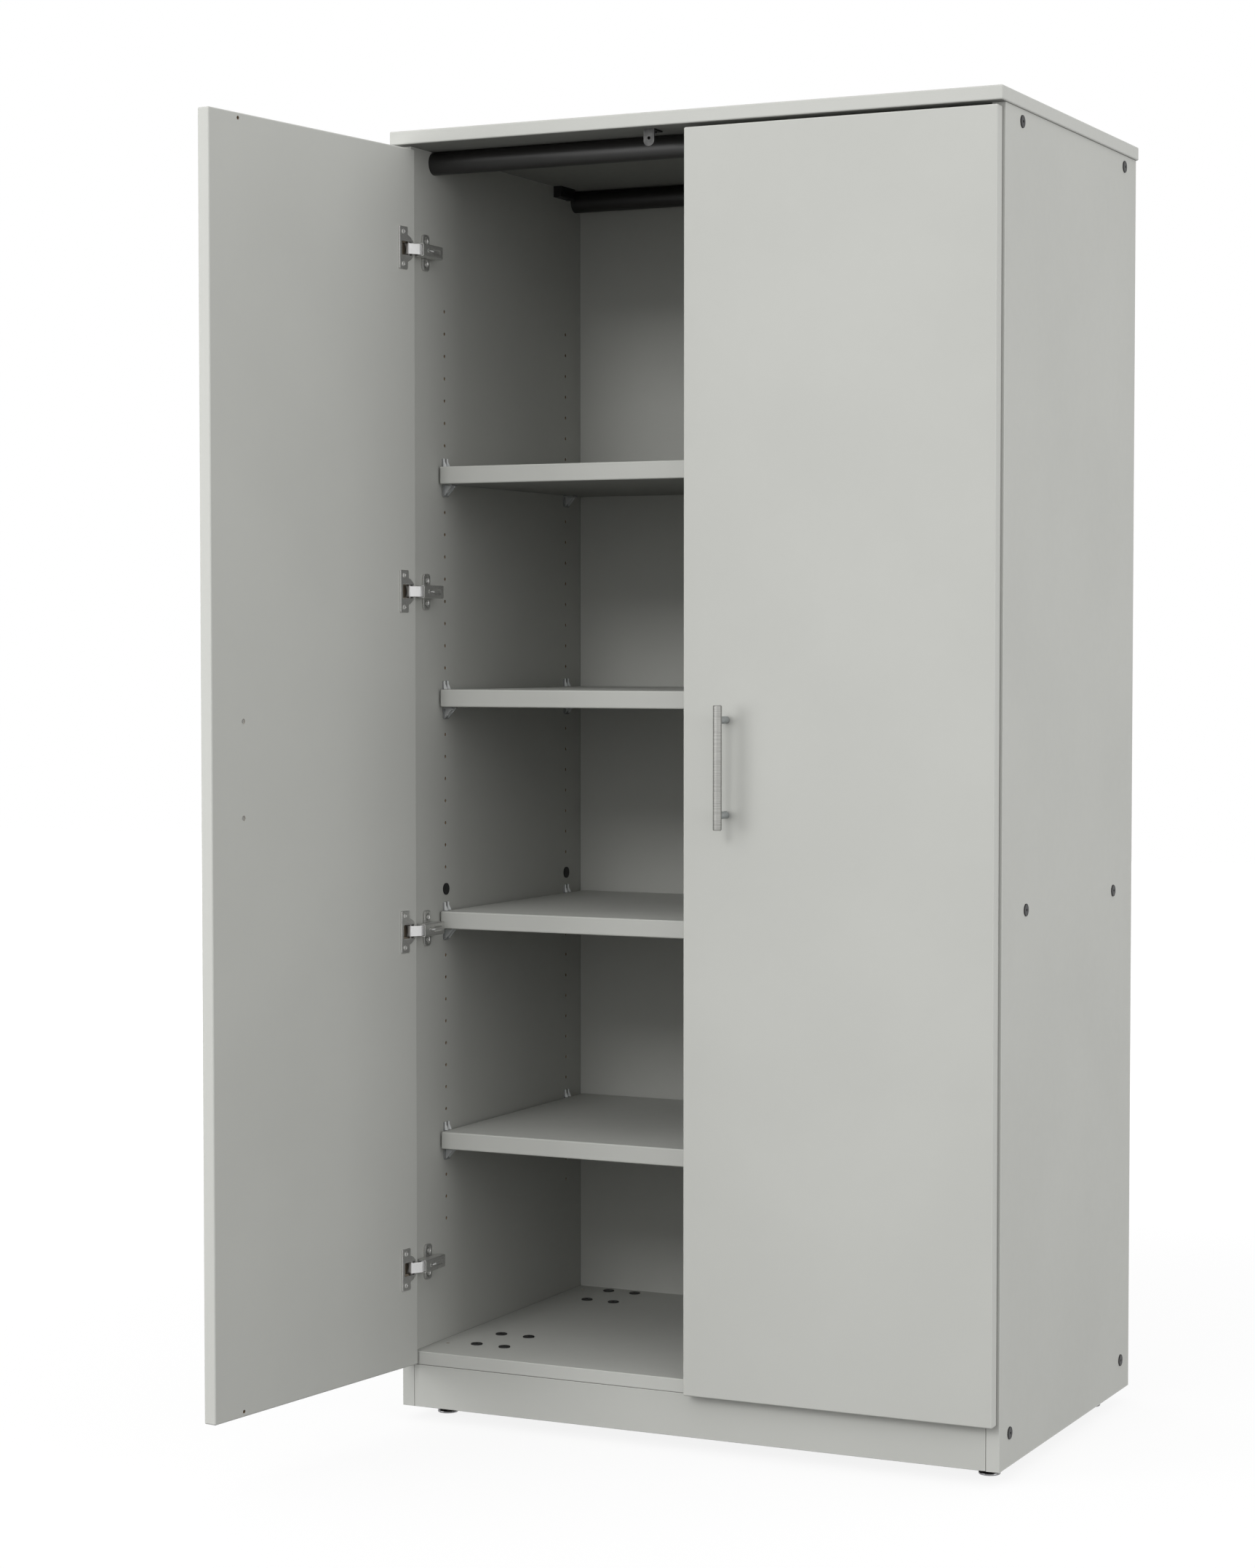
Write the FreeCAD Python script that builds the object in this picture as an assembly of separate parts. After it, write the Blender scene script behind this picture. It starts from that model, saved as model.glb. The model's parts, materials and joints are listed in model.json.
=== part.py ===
import FreeCAD, Part
import math
import os

# Two-door wardrobe cupboard in grey board, with adjustable shelves and steel cross rails.
# Millimetres. X runs to the right, Y to the back, Z up.
# The origin lies on the floor, under the middle of the carcass.

Vector = FreeCAD.Vector
os.makedirs("parts", exist_ok=True)

# Carcass boards
carcass_width = 900.0
side_depth = 573.0
side_height = 1791.0
foot_clearance = 20.0
board = 19.0
top_side_overhang = 3.5
top_front_overhang = 22.0
top_back_overhang = 2.0
plinth_height = 61.0
back_recess = 21.0
soft_edge = 2.0
arris = 1.0

# Fits: play is a sliding or screwed fit on the radius, lift a hair of air under a round face
play = 0.05
lift = 0.2

# Shelves and the rows of pin holes that carry them
shelf_thickness = 25.0
shelf_setback = 75.0
shelf_side_gap = 3.0
shelf_back_gap = 2.0
shelf_count = 4
shelf_lead_rows = 2
pin_pitch = 32.0
pin_top_setback = 223.0
pin_floor_gap = 160.0
pin_front_setback = 96.0
pin_back_setback = 90.0
pin_radius = 2.45
pin_length = 8.0
pin_hole_depth = 10.0

# Shelf clips
clip_width = 18.0
clip_plate = 2.5
clip_ledge_reach = 16.0
clip_ledge_thickness = 2.5
clip_ledge_rise = 8.0
clip_foot_drop = 10.0
clip_rib_thickness = 2.5
clip_rib_spacing = 10.0
clip_prong_width = 3.0
clip_prong_height = 12.5
clip_barb_reach = 3.5
clip_barb_height = 8.0
clip_barb_air = 0.3

# Doors
door_thickness = 19.0
door_gap = 2.4
door_side_reveal = 3.5
door_meeting_gap = 3.0
door_top_gap = 5.3
door_bottom_lift = 1.4
left_open_angle = 97.4
fixing_hole_radius = 2.5
fixing_hole_depth = 10.0
fixing_hole_edge = 59.0
fixing_hole_end = 7.3

# Concealed hinges, four to a door
hinge_count = 4
hinge_end = 140.0
cup_setback = 21.0
cup_radius = 17.5
cup_wall = 2.0
cup_depth = 13.0
cup_floor = 1.0
flange_rim = 1.0
flange_thickness = 1.0
wing_length = 60.0
wing_width = 20.2
wing_screw_setback = 28.5
wing_screw_spacing = 45.0
hinge_pin_radius = 1.5
cup_pin_setback = 11.0
cup_pin_depth = 3.7
cup_pin_cover = 0.4
arm_pin_offset = 13.5
arm_pin_setback = 2.5
link_share = 0.35
link_width = 14.8
link_thickness = 2.0
link_eye_radius = 3.0
link_bend_setback = 15.8
link_bend_depth = 10.2
arm_sheet = 1.3
arm_side_play = 0.4
arm_half_height = 6.5
arm_nose = 3.3
arm_length = 56.3
saddle_start = 11.0
saddle_length = 44.0
saddle_play = 0.3
plate_thickness = 2.5
plate_length = 51.0
plate_width = 19.0
plate_corner = 6.0
plate_screw_setback = 37.0
plate_screw_spacing = 32.0
adjuster_setback = 15.0
adjuster_head_radius = 3.0
adjuster_head = 1.0
adjuster_length = 9.0

# Bar handles
handle_edge = 64.0
handle_spacing = 128.0
handle_standoff = 30.0
handle_bar_radius = 6.0
handle_bar_end = 20.0
handle_bar_round = 1.5
handle_post_radius = 5.0
handle_screw_radius = 2.0
handle_screw_head_radius = 3.5
handle_screw_head = 2.5
handle_screw_sink = 3.5
handle_screw_grip = 12.0

# Round cross rails
rail_radius = 16.0
rail_wall = 1.5
upper_front_rail_setback = 66.0
lower_front_rail_setback = 40.0
lower_back_rail_inset = 41.0
plug_length = 22.0

# Flat-head connector bolts and their cap nuts
bolt_radius = 3.0
bolt_head_radius = 8.5
bolt_head = 1.6
bolt_head_round = 0.8
bolt_socket_sides = 6
bolt_socket_width = 4.0
bolt_socket_depth = 1.2
rail_bolt_grip = 15.0
nut_sleeve_radius = 4.5
nut_sleeve_length = 14.0
link_bolt_shelf = 3
link_bolt_rows_up = 2
floor_bolt_inset = 60.0
floor_bolt_pitch_x = 45.0
floor_bolt_pitch_y = 76.0
floor_bolt_setback = 76.5
floor_bolt_back_inset = 22.0

# Wood screws
screw_radius = 2.0
screw_head_radius = 3.6
screw_head = 1.6
screw_bite = 12.0
screw_slot_length = 4.4
screw_slot_width = 0.9
screw_slot_depth = 0.8

# Corner blocks under the top
corner_block_length = 48.0
corner_block_width = 13.0
corner_block_height = 16.5
corner_block_rail_gap = 10.0
corner_block_screw_end = 12.0

# Bracket that holds the left door shut
bracket_width = 16.0
bracket_sheet = 2.0
bracket_leg = 27.0
bracket_drop = 23.5
bracket_hole_radius = 2.3
bracket_screw_setback = 18.0

# Levelling feet and their sockets
foot_inset_x = 18.0
foot_inset_y = 67.0
foot_pad_radius = 15.0
foot_pad_height = 4.0
foot_pad_round = 1.0
foot_cone_radius = 6.0
foot_cone_height = 5.0
foot_stem_radius = 4.0
foot_stem_air = 0.3
foot_slot_width = 1.6
foot_slot_depth = 3.0
socket_outer = 15.0
socket_half_depth = 9.5
socket_height = 40.0
access_hole_radius = 3.0

# Dowels
dowel_radius = 4.0
dowel_length = 30.0
dowel_in_face = 10.0
dowel_end_air = 1.0
dowel_setback = 150.0
plinth_dowel_end = 15.0
back_dowel_count = 4
back_dowel_end = 150.0

# Planes and centres worked out from the sizes above
front = -side_depth / 2
back = side_depth / 2
outer_x = carcass_width / 2
inner_x = outer_x - board
carcass_top = foot_clearance + side_height
bottom_low = foot_clearance + plinth_height
bottom_top = bottom_low + board
panel_back = back - back_recess
panel_front = panel_back - board

door_back = front - door_gap
door_front = door_back - door_thickness
door_low = bottom_low + door_bottom_lift
door_top = carcass_top - door_top_gap
door_free_x = door_meeting_gap / 2
door_hinge_x = outer_x - door_side_reveal
hinge_step = (door_top - door_low - 2 * hinge_end) / (hinge_count - 1)
hinge_heights = [door_low + hinge_end + step * hinge_step for step in range(hinge_count)]
handle_x = door_free_x + handle_edge
handle_y = door_front - handle_standoff
handle_middle = (door_low + door_top) / 2
handle_heights = [handle_middle - handle_spacing / 2, handle_middle + handle_spacing / 2]
fixing_x = door_free_x + fixing_hole_edge
fixing_heights = [door_low + fixing_hole_end, door_top - fixing_hole_end]

cup_x = door_hinge_x - cup_setback
cup_pin = Vector(door_hinge_x - cup_pin_setback, door_back - cup_pin_depth, 0)
arm_pin = Vector(inner_x - arm_pin_offset, front + arm_pin_setback, 0)
link_bend = Vector(door_hinge_x - link_bend_setback, door_back - link_bend_depth, 0)
cup_pin_far = cup_setback - cup_pin_setback + hinge_pin_radius
cup_pin_length = 2 * (math.sqrt(cup_radius**2 - cup_pin_far**2) - cup_pin_cover)
wing_screw_x = door_hinge_x - wing_screw_setback
arm_half_width = link_width / 2 + arm_side_play + arm_sheet
arm_web_x = arm_pin.x - arm_half_height
adjuster_y = front + adjuster_setback
plate_screw_y = front + plate_screw_setback

upper_rail_z = carcass_top - rail_radius - lift
lower_rail_z = bottom_low - rail_radius - lift
upper_front_rail_y = front + upper_front_rail_setback
upper_back_rail_y = panel_front - rail_radius - lift
lower_front_rail_y = front + lower_front_rail_setback
lower_back_rail_y = back - lower_back_rail_inset
rail_axes = {
    "upper_front_rail": (upper_front_rail_y, upper_rail_z),
    "upper_back_rail": (upper_back_rail_y, upper_rail_z),
    "lower_front_rail": (lower_front_rail_y, lower_rail_z),
    "lower_back_rail": (lower_back_rail_y, lower_rail_z),
}

pin_columns = [front + pin_front_setback, back - pin_back_setback]
pin_top_height = carcass_top - pin_top_setback
pin_rows = int((pin_top_height - bottom_top - pin_floor_gap) / pin_pitch) + 1
shelf_row_step = pin_rows // shelf_count
shelf_first_row = shelf_row_step - shelf_lead_rows
floor_bolt_x = [inner_x - floor_bolt_inset, inner_x - floor_bolt_inset - floor_bolt_pitch_x]
floor_front_y = front + floor_bolt_setback
floor_back_y = panel_front - floor_bolt_back_inset
floor_bolt_y = [floor_front_y, floor_front_y + floor_bolt_pitch_y]
floor_bolt_y += [floor_back_y - floor_bolt_pitch_y, floor_back_y]
foot_x = inner_x - foot_inset_x
foot_stem_top = bottom_low - foot_stem_air
foot_ys = {"front": front + foot_inset_y, "back": back - foot_inset_y}
corner_block_starts = [
    upper_front_rail_y + rail_radius + corner_block_rail_gap,
    upper_back_rail_y - rail_radius - corner_block_rail_gap - corner_block_length,
]
corner_block_screw_z = carcass_top - corner_block_height / 2
bracket_screw_y = front + bracket_screw_setback

along_x = Vector(1, 0, 0)
along_y = Vector(0, 1, 0)
along_z = Vector(0, 0, 1)


def row_height(row):
    return pin_top_height - row * pin_pitch


def shelf_row(number):
    return shelf_first_row + (number - 1) * shelf_row_step


def link_bolt_row():
    return shelf_row(link_bolt_shelf) - link_bolt_rows_up


def block(x0, x1, y0, y1, z0, z1):
    return Part.makeBox(x1 - x0, y1 - y0, z1 - z0, Vector(x0, y0, z0))


def rod(radius, start, direction, length):
    return Part.makeCylinder(radius, length, start, direction)


def prism(points, direction):
    outline = Part.makePolygon(points + points[:1])
    return Part.Face(outline).extrude(direction)


def softened(shape, radius):
    return shape.makeFillet(radius, shape.Edges)


def edges_where(shape, test):
    return [edge for edge in shape.Edges if test(edge.BoundBox)]


def cut(shape, tools):
    return shape.cut(Part.makeCompound(tools))


def fuse(shape, others):
    return shape.fuse(others).removeSplitter()


def mirrored(shape):
    return shape.mirror(Vector(0, 0, 0), along_x)


def both_sides(shapes):
    return shapes + [mirrored(shape) for shape in shapes]


def save(name, shapes):
    solids = [solid for shape in shapes for solid in shape.Solids]
    result = solids[0] if len(solids) == 1 else Part.makeCompound(solids)
    result.exportStep("parts/" + name + ".step")


# Screws, bolts, nuts and dowels


def wood_screw(seat, direction):
    """Cross-head screw: the head stands on the seat, the shank goes along the direction."""
    head = rod(screw_head_radius, seat, direction * -1, screw_head)
    shank = rod(screw_radius, seat, direction, screw_bite)
    slots = cross_slots(seat - direction * screw_head, direction)
    return cut(fuse(head, [shank]), slots)


def cross_slots(crown, direction):
    """Two crossed bars that sink from the crown of a screw head along its direction."""
    half_length = screw_slot_length / 2
    half_width = screw_slot_width / 2
    slots = []
    for half_x, half_y in [(half_length, half_width), (half_width, half_length)]:
        bar = block(-half_x, half_x, -half_y, half_y, 0, screw_slot_depth)
        bar.Placement = FreeCAD.Placement(crown, FreeCAD.Rotation(along_z, direction))
        slots.append(bar)
    return slots


def screw_hole(seat, direction):
    return rod(screw_radius + play, seat, direction, screw_bite + dowel_end_air)


def connector_bolt(seat, direction, length):
    """Flat round head with a six-sided socket, standing on the seat, and a plain shank."""
    head = rod(bolt_head_radius, seat, direction * -1, bolt_head)
    crown = seat - direction * bolt_head
    rims = [edge for edge in head.Edges if edge.CenterOfMass.distanceToPoint(crown) < bolt_head / 2]
    head = head.makeFillet(bolt_head_round, rims)
    shank = rod(bolt_radius, seat, direction, length)
    corners = [Vector(bolt_socket_width / 2, 0, 0)]
    for side in range(1, bolt_socket_sides):
        turn = FreeCAD.Rotation(along_z, side * 360 / bolt_socket_sides)
        corners.append(turn.multVec(corners[0]))
    socket = prism(corners, Vector(0, 0, bolt_socket_depth))
    socket.Placement = FreeCAD.Placement(crown, FreeCAD.Rotation(along_z, direction))
    return cut(fuse(head, [shank]), [socket])


def cap_nut(seat, direction):
    """Flat round cap on the seat with a bored sleeve that reaches into the board."""
    cap = rod(bolt_head_radius, seat, direction * -1, bolt_head)
    sleeve = rod(nut_sleeve_radius, seat, direction, nut_sleeve_length)
    bore = rod(bolt_radius + play, seat, direction, nut_sleeve_length)
    return cut(fuse(cap, [sleeve]), [bore])


def dowel(mouth, direction):
    """Dowel whose shorter end lies along the direction from the mouth of its hole in a board's face."""
    start = mouth - direction * (dowel_length - dowel_in_face)
    return rod(dowel_radius, start, direction, dowel_length)


def dowel_hole(mouth, direction):
    start = mouth - direction * (dowel_length - dowel_in_face + dowel_end_air)
    return rod(dowel_radius + play, start, direction, dowel_length + 2 * dowel_end_air)


def dowel_places():
    """Mouth and direction of each dowel of the right-hand side."""
    depths = [front + dowel_setback, (front + panel_front) / 2, panel_front - dowel_setback]
    bottom_z = bottom_top - board / 2
    places = [(Vector(inner_x, y, bottom_z), along_x) for y in depths]
    places += [(Vector(inner_x + board / 2, y, carcass_top), along_z) for y in depths]
    for z in (foot_clearance + plinth_dowel_end, bottom_low - plinth_dowel_end):
        places.append((Vector(inner_x, front + board / 2, z), along_x))
    rise = (carcass_top - bottom_top - 2 * back_dowel_end) / (back_dowel_count - 1)
    for step in range(back_dowel_count):
        z = bottom_top + back_dowel_end + step * rise
        places.append((Vector(inner_x, panel_front + board / 2, z), along_x))
    return places


def rail_bolt_places():
    """Seat and direction of each rail bolt of the right-hand side."""
    return [(Vector(outer_x, y, z), along_x * -1) for y, z in rail_axes.values()]


def link_bolt_places():
    """Seat and direction of each bolt that links this cupboard to a neighbour on its right."""
    return [(Vector(outer_x, y, row_height(link_bolt_row())), along_x * -1) for y in pin_columns]


def floor_bolt_places():
    return [(Vector(x, y, bottom_top), along_z * -1) for x in floor_bolt_x for y in floor_bolt_y]


def plate_screw_places():
    """Seat and direction of each screw that holds a hinge plate on the right-hand side."""
    places = []
    for middle in hinge_heights:
        for z in (middle - plate_screw_spacing / 2, middle + plate_screw_spacing / 2):
            places.append((Vector(inner_x - plate_thickness, plate_screw_y, z), along_x))
    return places


def cup_screw_places():
    """Seat and direction of each screw that holds a hinge cup on the closed right-hand door."""
    places = []
    for middle in hinge_heights:
        for z in (middle - wing_screw_spacing / 2, middle + wing_screw_spacing / 2):
            places.append((Vector(wing_screw_x, door_back + flange_thickness, z), along_y * -1))
    return places


def corner_screw_places():
    """Seat and direction of each corner block screw of the right-hand side: one sideways, one upward."""
    places = []
    for start in corner_block_starts:
        side_y = start + corner_block_screw_end
        top_y = start + corner_block_length - corner_block_screw_end
        seat_x = inner_x - corner_block_width
        places.append((Vector(seat_x, side_y, corner_block_screw_z), along_x))
        top_x = inner_x - corner_block_width / 2
        places.append((Vector(top_x, top_y, carcass_top - corner_block_height), along_z))
    return places


def bracket_screw_place():
    return Vector(-fixing_x, bracket_screw_y, carcass_top - bracket_sheet), along_z


# Carcass boards


def side_panel():
    panel = block(inner_x, outer_x, front, back, foot_clearance, carcass_top)
    front_edges = edges_where(panel, lambda box: box.YMax < front + arris and box.XLength < arris)
    panel = panel.makeFillet(arris, front_edges)
    holes = []
    for row in range(pin_rows):
        for y in pin_columns:
            if row != link_bolt_row():
                start = Vector(inner_x, y, row_height(row))
                holes.append(rod(pin_radius + play, start, along_x, pin_hole_depth))
    for seat, direction in link_bolt_places():
        holes.append(rod(nut_sleeve_radius + play, seat, direction, board))
    for seat, direction in rail_bolt_places():
        holes.append(rod(bolt_radius + play, seat, direction, board))
    for seat, direction in plate_screw_places():
        holes.append(screw_hole(seat, direction))
    for seat, direction in corner_screw_places():
        if direction == along_x:
            holes.append(screw_hole(seat, direction))
    for mouth, direction in dowel_places():
        holes.append(dowel_hole(mouth, direction))
    return cut(panel, holes)


def top_panel():
    reach = outer_x + top_side_overhang
    y0 = front - top_front_overhang
    y1 = back + top_back_overhang
    slab = block(-reach, reach, y0, y1, carcass_top, carcass_top + board)
    slab = softened(slab, soft_edge)
    right_holes = [dowel_hole(*place) for place in dowel_places() if place[1] == along_z]
    right_holes += [screw_hole(*place) for place in corner_screw_places() if place[1] == along_z]
    return cut(slab, both_sides(right_holes) + [screw_hole(*bracket_screw_place())])


def bottom_panel():
    slab = block(-inner_x, inner_x, front, panel_back, bottom_low, bottom_top)
    front_edges = edges_where(slab, lambda box: box.YMax < front + arris and box.ZLength < arris)
    slab = slab.makeFillet(arris, front_edges)
    holes = [dowel_hole(*place) for place in dowel_places()]
    for seat, direction in floor_bolt_places():
        holes.append(rod(nut_sleeve_radius + play, seat, direction, board))
    for y in foot_ys.values():
        holes.append(rod(access_hole_radius, Vector(foot_x, y, bottom_low), along_z, board))
    return cut(slab, both_sides(holes))


def back_panel():
    slab = block(-inner_x, inner_x, panel_front, panel_back, bottom_top, carcass_top)
    return cut(slab, both_sides([dowel_hole(*place) for place in dowel_places()]))


def front_plinth():
    slab = block(-inner_x, inner_x, front, front + board, foot_clearance, bottom_low)
    front_edges = edges_where(slab, lambda box: box.YMax < front + arris and box.ZLength < arris)
    slab = slab.makeFillet(arris, front_edges)
    return cut(slab, both_sides([dowel_hole(*place) for place in dowel_places()]))


# Shelves and clips


def shelf_low(number):
    return row_height(shelf_row(number)) + clip_ledge_rise


def shelf(number):
    reach = inner_x - shelf_side_gap
    low = shelf_low(number)
    y0 = front + shelf_setback
    y1 = panel_front - shelf_back_gap
    slab = block(-reach, reach, y0, y1, low, low + shelf_thickness)
    return softened(slab, soft_edge)


def shelf_clip(number, y):
    """Clip on the right-hand side: a pinned plate, a ribbed ledge and two prongs over the shelf."""
    row_z = row_height(shelf_row(number))
    low = shelf_low(number)
    high = low + shelf_thickness
    face_x = inner_x - clip_plate
    half = clip_width / 2
    plate = block(face_x, inner_x, y - half, y + half, row_z - clip_foot_drop, high)
    ledge = block(inner_x - clip_ledge_reach, face_x, y - half, y + half, low - clip_ledge_thickness, low)
    pieces = [ledge]
    for rib_y in (y - clip_rib_spacing / 2, y + clip_rib_spacing / 2):
        rib_points = [
            Vector(face_x, rib_y - clip_rib_thickness / 2, row_z - clip_foot_drop),
            Vector(face_x, rib_y - clip_rib_thickness / 2, low - clip_ledge_thickness),
            Vector(inner_x - clip_ledge_reach, rib_y - clip_rib_thickness / 2, low - clip_ledge_thickness),
        ]
        pieces.append(prism(rib_points, along_y * clip_rib_thickness))
        barb_z = high + clip_barb_air
        prong_points = [
            Vector(inner_x, rib_y - clip_prong_width / 2, high),
            Vector(face_x, rib_y - clip_prong_width / 2, high),
            Vector(face_x, rib_y - clip_prong_width / 2, barb_z),
            Vector(face_x - clip_barb_reach, rib_y - clip_prong_width / 2, barb_z),
            Vector(face_x, rib_y - clip_prong_width / 2, high + clip_barb_height),
            Vector(face_x, rib_y - clip_prong_width / 2, high + clip_prong_height),
            Vector(inner_x, rib_y - clip_prong_width / 2, high + clip_prong_height),
        ]
        pieces.append(prism(prong_points, along_y * clip_prong_width))
    for pin_z in (row_z, row_z + pin_pitch):
        pieces.append(rod(pin_radius, Vector(inner_x, y, pin_z), along_x, pin_length))
    return fuse(plate, pieces)


# Doors, built closed on the right-hand side


def door():
    leaf = block(door_free_x, door_hinge_x, door_front, door_back, door_low, door_top)
    leaf = softened(leaf, soft_edge)
    holes = []
    for middle in hinge_heights:
        mouth = Vector(cup_x, door_back, middle)
        holes.append(rod(cup_radius + play, mouth, along_y * -1, cup_depth + play))
    for seat, direction in cup_screw_places():
        holes.append(screw_hole(seat, direction))
    for z in handle_heights:
        mouth = Vector(handle_x, door_back, z)
        holes.append(rod(handle_screw_radius + play, mouth, along_y * -1, door_thickness))
        sink_radius = handle_screw_head_radius + play
        holes.append(rod(sink_radius, mouth, along_y * -1, handle_screw_sink))
    for z in fixing_heights:
        mouth = Vector(fixing_x, door_back, z)
        holes.append(rod(fixing_hole_radius, mouth, along_y * -1, fixing_hole_depth))
    return cut(leaf, holes)


def hinge_cup(middle):
    """Round cup sunk in the door, with a thin flange and two screwed wings on the door's back."""
    mouth = Vector(cup_x, door_back, middle)
    body = rod(cup_radius, mouth, along_y * -1, cup_depth)
    wing_low = wing_screw_x - wing_width / 2
    wing_high = wing_screw_x + wing_width / 2
    low = middle - wing_length / 2
    high = middle + wing_length / 2
    face = door_back + flange_thickness
    beyond_wings = block(wing_low - wing_width, wing_low, door_back, face, low, high)
    rim = rod(cup_radius + flange_rim, mouth, along_y, flange_thickness).cut(beyond_wings)
    wings = block(wing_low, wing_high, door_back, face, low, high)
    corners = edges_where(wings, lambda box: box.XLength < arris and box.ZLength < arris)
    wings = wings.makeFillet(soft_edge, corners)
    rim_mouth = mouth + along_y * flange_thickness
    hollow_depth = cup_depth - cup_floor + flange_thickness
    holes = [rod(cup_radius - cup_wall, rim_mouth, along_y * -1, hollow_depth)]
    for seat, direction in cup_screw_places():
        holes.append(rod(screw_radius + play, seat, direction, flange_thickness))
    holes.append(rod(hinge_pin_radius + play, cup_pin_start(middle), along_z, cup_pin_length))
    return cut(fuse(body, [rim, wings]), holes)


def cup_pin_start(middle):
    return cup_pin + along_z * (middle - cup_pin_length / 2)


def hinge_cup_pin(middle):
    return rod(hinge_pin_radius, cup_pin_start(middle), along_z, cup_pin_length)


def strap_leg(start, end):
    """Flat bar of the link between two points of its side view."""
    side = (end - start).normalize().cross(along_z) * (link_thickness / 2)
    return [start + side, end + side, end - side, start - side]


def hinge_link(middle):
    """Cranked strap with an eye at each end, from the arm's pin to the cup's pin."""
    drop = along_z * (middle - link_width / 2)
    rise = along_z * link_width
    strap = rod(link_thickness / 2, link_bend + drop, along_z, link_width)
    pieces = [rod(link_eye_radius, pin + drop, along_z, link_width) for pin in (arm_pin, cup_pin)]
    for pin in (arm_pin, cup_pin):
        corners = [point + drop for point in strap_leg(pin, link_bend)]
        pieces.append(prism(corners, rise))
    bores = [rod(hinge_pin_radius + play, pin + drop, along_z, link_width) for pin in (arm_pin, cup_pin)]
    return cut(fuse(strap, pieces), bores)


def hinge_arm(middle):
    """Channel of bent sheet, open towards the side panel, that carries the link's rear pin."""
    low = middle - arm_half_width
    high = middle + arm_half_width
    nose_y = arm_pin.y - arm_nose
    tail_y = nose_y + arm_length
    open_x = arm_pin.x + arm_half_height
    channel = block(arm_web_x, open_x, nose_y, tail_y, low, high)
    hollow = block(arm_web_x + arm_sheet, open_x, nose_y, tail_y, low + arm_sheet, high - arm_sheet)
    pin_hole = rod(hinge_pin_radius + play, arm_pin + along_z * low, along_z, high - low)
    adjuster_hole = rod(screw_radius + play, Vector(arm_web_x, adjuster_y, middle), along_x, arm_sheet)
    return cut(channel, [hollow, pin_hole, adjuster_hole])


def hinge_plate(middle):
    """Wing plate on the side panel, with the saddle that fills the arm's channel."""
    y0 = plate_screw_y - plate_width / 2
    y1 = plate_screw_y + plate_width / 2
    half = plate_length / 2
    wings = block(inner_x - plate_thickness, inner_x, y0, y1, middle - half, middle + half)
    corners = edges_where(wings, lambda box: box.YLength < arris and box.ZLength < arris)
    wings = wings.makeFillet(plate_corner, corners)
    saddle_half = arm_half_width - arm_sheet - saddle_play
    saddle_x = arm_web_x + arm_sheet
    saddle_y0 = front + saddle_start
    saddle_y1 = saddle_y0 + saddle_length
    saddle = block(saddle_x, inner_x, saddle_y0, saddle_y1, middle - saddle_half, middle + saddle_half)
    holes = []
    for seat, direction in plate_screw_places():
        holes.append(rod(screw_radius + play, seat, direction, plate_thickness))
    holes.append(rod(screw_radius + play, Vector(arm_web_x, adjuster_y, middle), along_x, adjuster_length))
    return cut(fuse(wings, [saddle]), holes)


def hinge_adjuster(middle):
    """Slotted screw through the arm's web into the saddle."""
    seat = Vector(arm_web_x, adjuster_y, middle)
    head = rod(adjuster_head_radius, seat, along_x * -1, adjuster_head)
    shank = rod(screw_radius, seat, along_x, adjuster_length - play)
    half = screw_slot_width / 2
    reach = adjuster_head_radius
    slot = block(
        arm_web_x - adjuster_head,
        arm_web_x - adjuster_head + screw_slot_depth,
        adjuster_y - reach,
        adjuster_y + reach,
        middle - half,
        middle + half,
    )
    return cut(fuse(head, [shank]), [slot])


# Handles


def handle_bar():
    length = handle_spacing + 2 * handle_bar_end
    bar = rod(handle_bar_radius, Vector(handle_x, handle_y, handle_middle - length / 2), along_z, length)
    rims = edges_where(bar, lambda box: box.ZLength < arris)
    return bar.makeFillet(handle_bar_round, rims)


def handle_post(z):
    post = rod(handle_post_radius, Vector(handle_x, handle_y, z), along_y, handle_standoff)
    low = z - handle_post_radius - handle_bar_end
    seat = rod(handle_bar_radius + play, Vector(handle_x, handle_y, low), along_z, 2 * (z - low))
    mouth = Vector(handle_x, door_front, z)
    bore = rod(handle_screw_radius + play, mouth, along_y * -1, handle_screw_grip + play)
    return cut(post, [seat, bore])


def handle_screw(z):
    seat = Vector(handle_x, door_back - handle_screw_sink, z)
    head = rod(handle_screw_head_radius, seat, along_y, handle_screw_head)
    length = door_thickness - handle_screw_sink + handle_screw_grip
    shank = rod(handle_screw_radius, seat, along_y * -1, length)
    slots = cross_slots(seat + along_y * handle_screw_head, along_y * -1)
    return cut(fuse(head, [shank]), slots)


# Cross rails


def cross_rail(y, z):
    start = Vector(-inner_x, y, z)
    tube = rod(rail_radius, start, along_x, 2 * inner_x)
    return tube.cut(rod(rail_radius - rail_wall, start, along_x, 2 * inner_x))


def rail_plug(y, z):
    start = Vector(inner_x, y, z)
    plug = rod(rail_radius - rail_wall - play, start, along_x * -1, plug_length)
    return plug.cut(rod(bolt_radius + play, start, along_x * -1, plug_length))


# Small fittings


def corner_block(start):
    low_x = inner_x - corner_block_width
    low_z = carcass_top - corner_block_height
    body = block(low_x, inner_x, start, start + corner_block_length, low_z, carcass_top)
    corner_edges = edges_where(body, lambda box: box.XMax < low_x + arris and box.ZMax < low_z + arris)
    body = body.makeFillet(soft_edge, corner_edges)
    holes = []
    for seat, direction in corner_screw_places():
        holes.append(rod(screw_radius + play, seat, direction, screw_bite + corner_block_height))
    return cut(body, holes)


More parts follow.
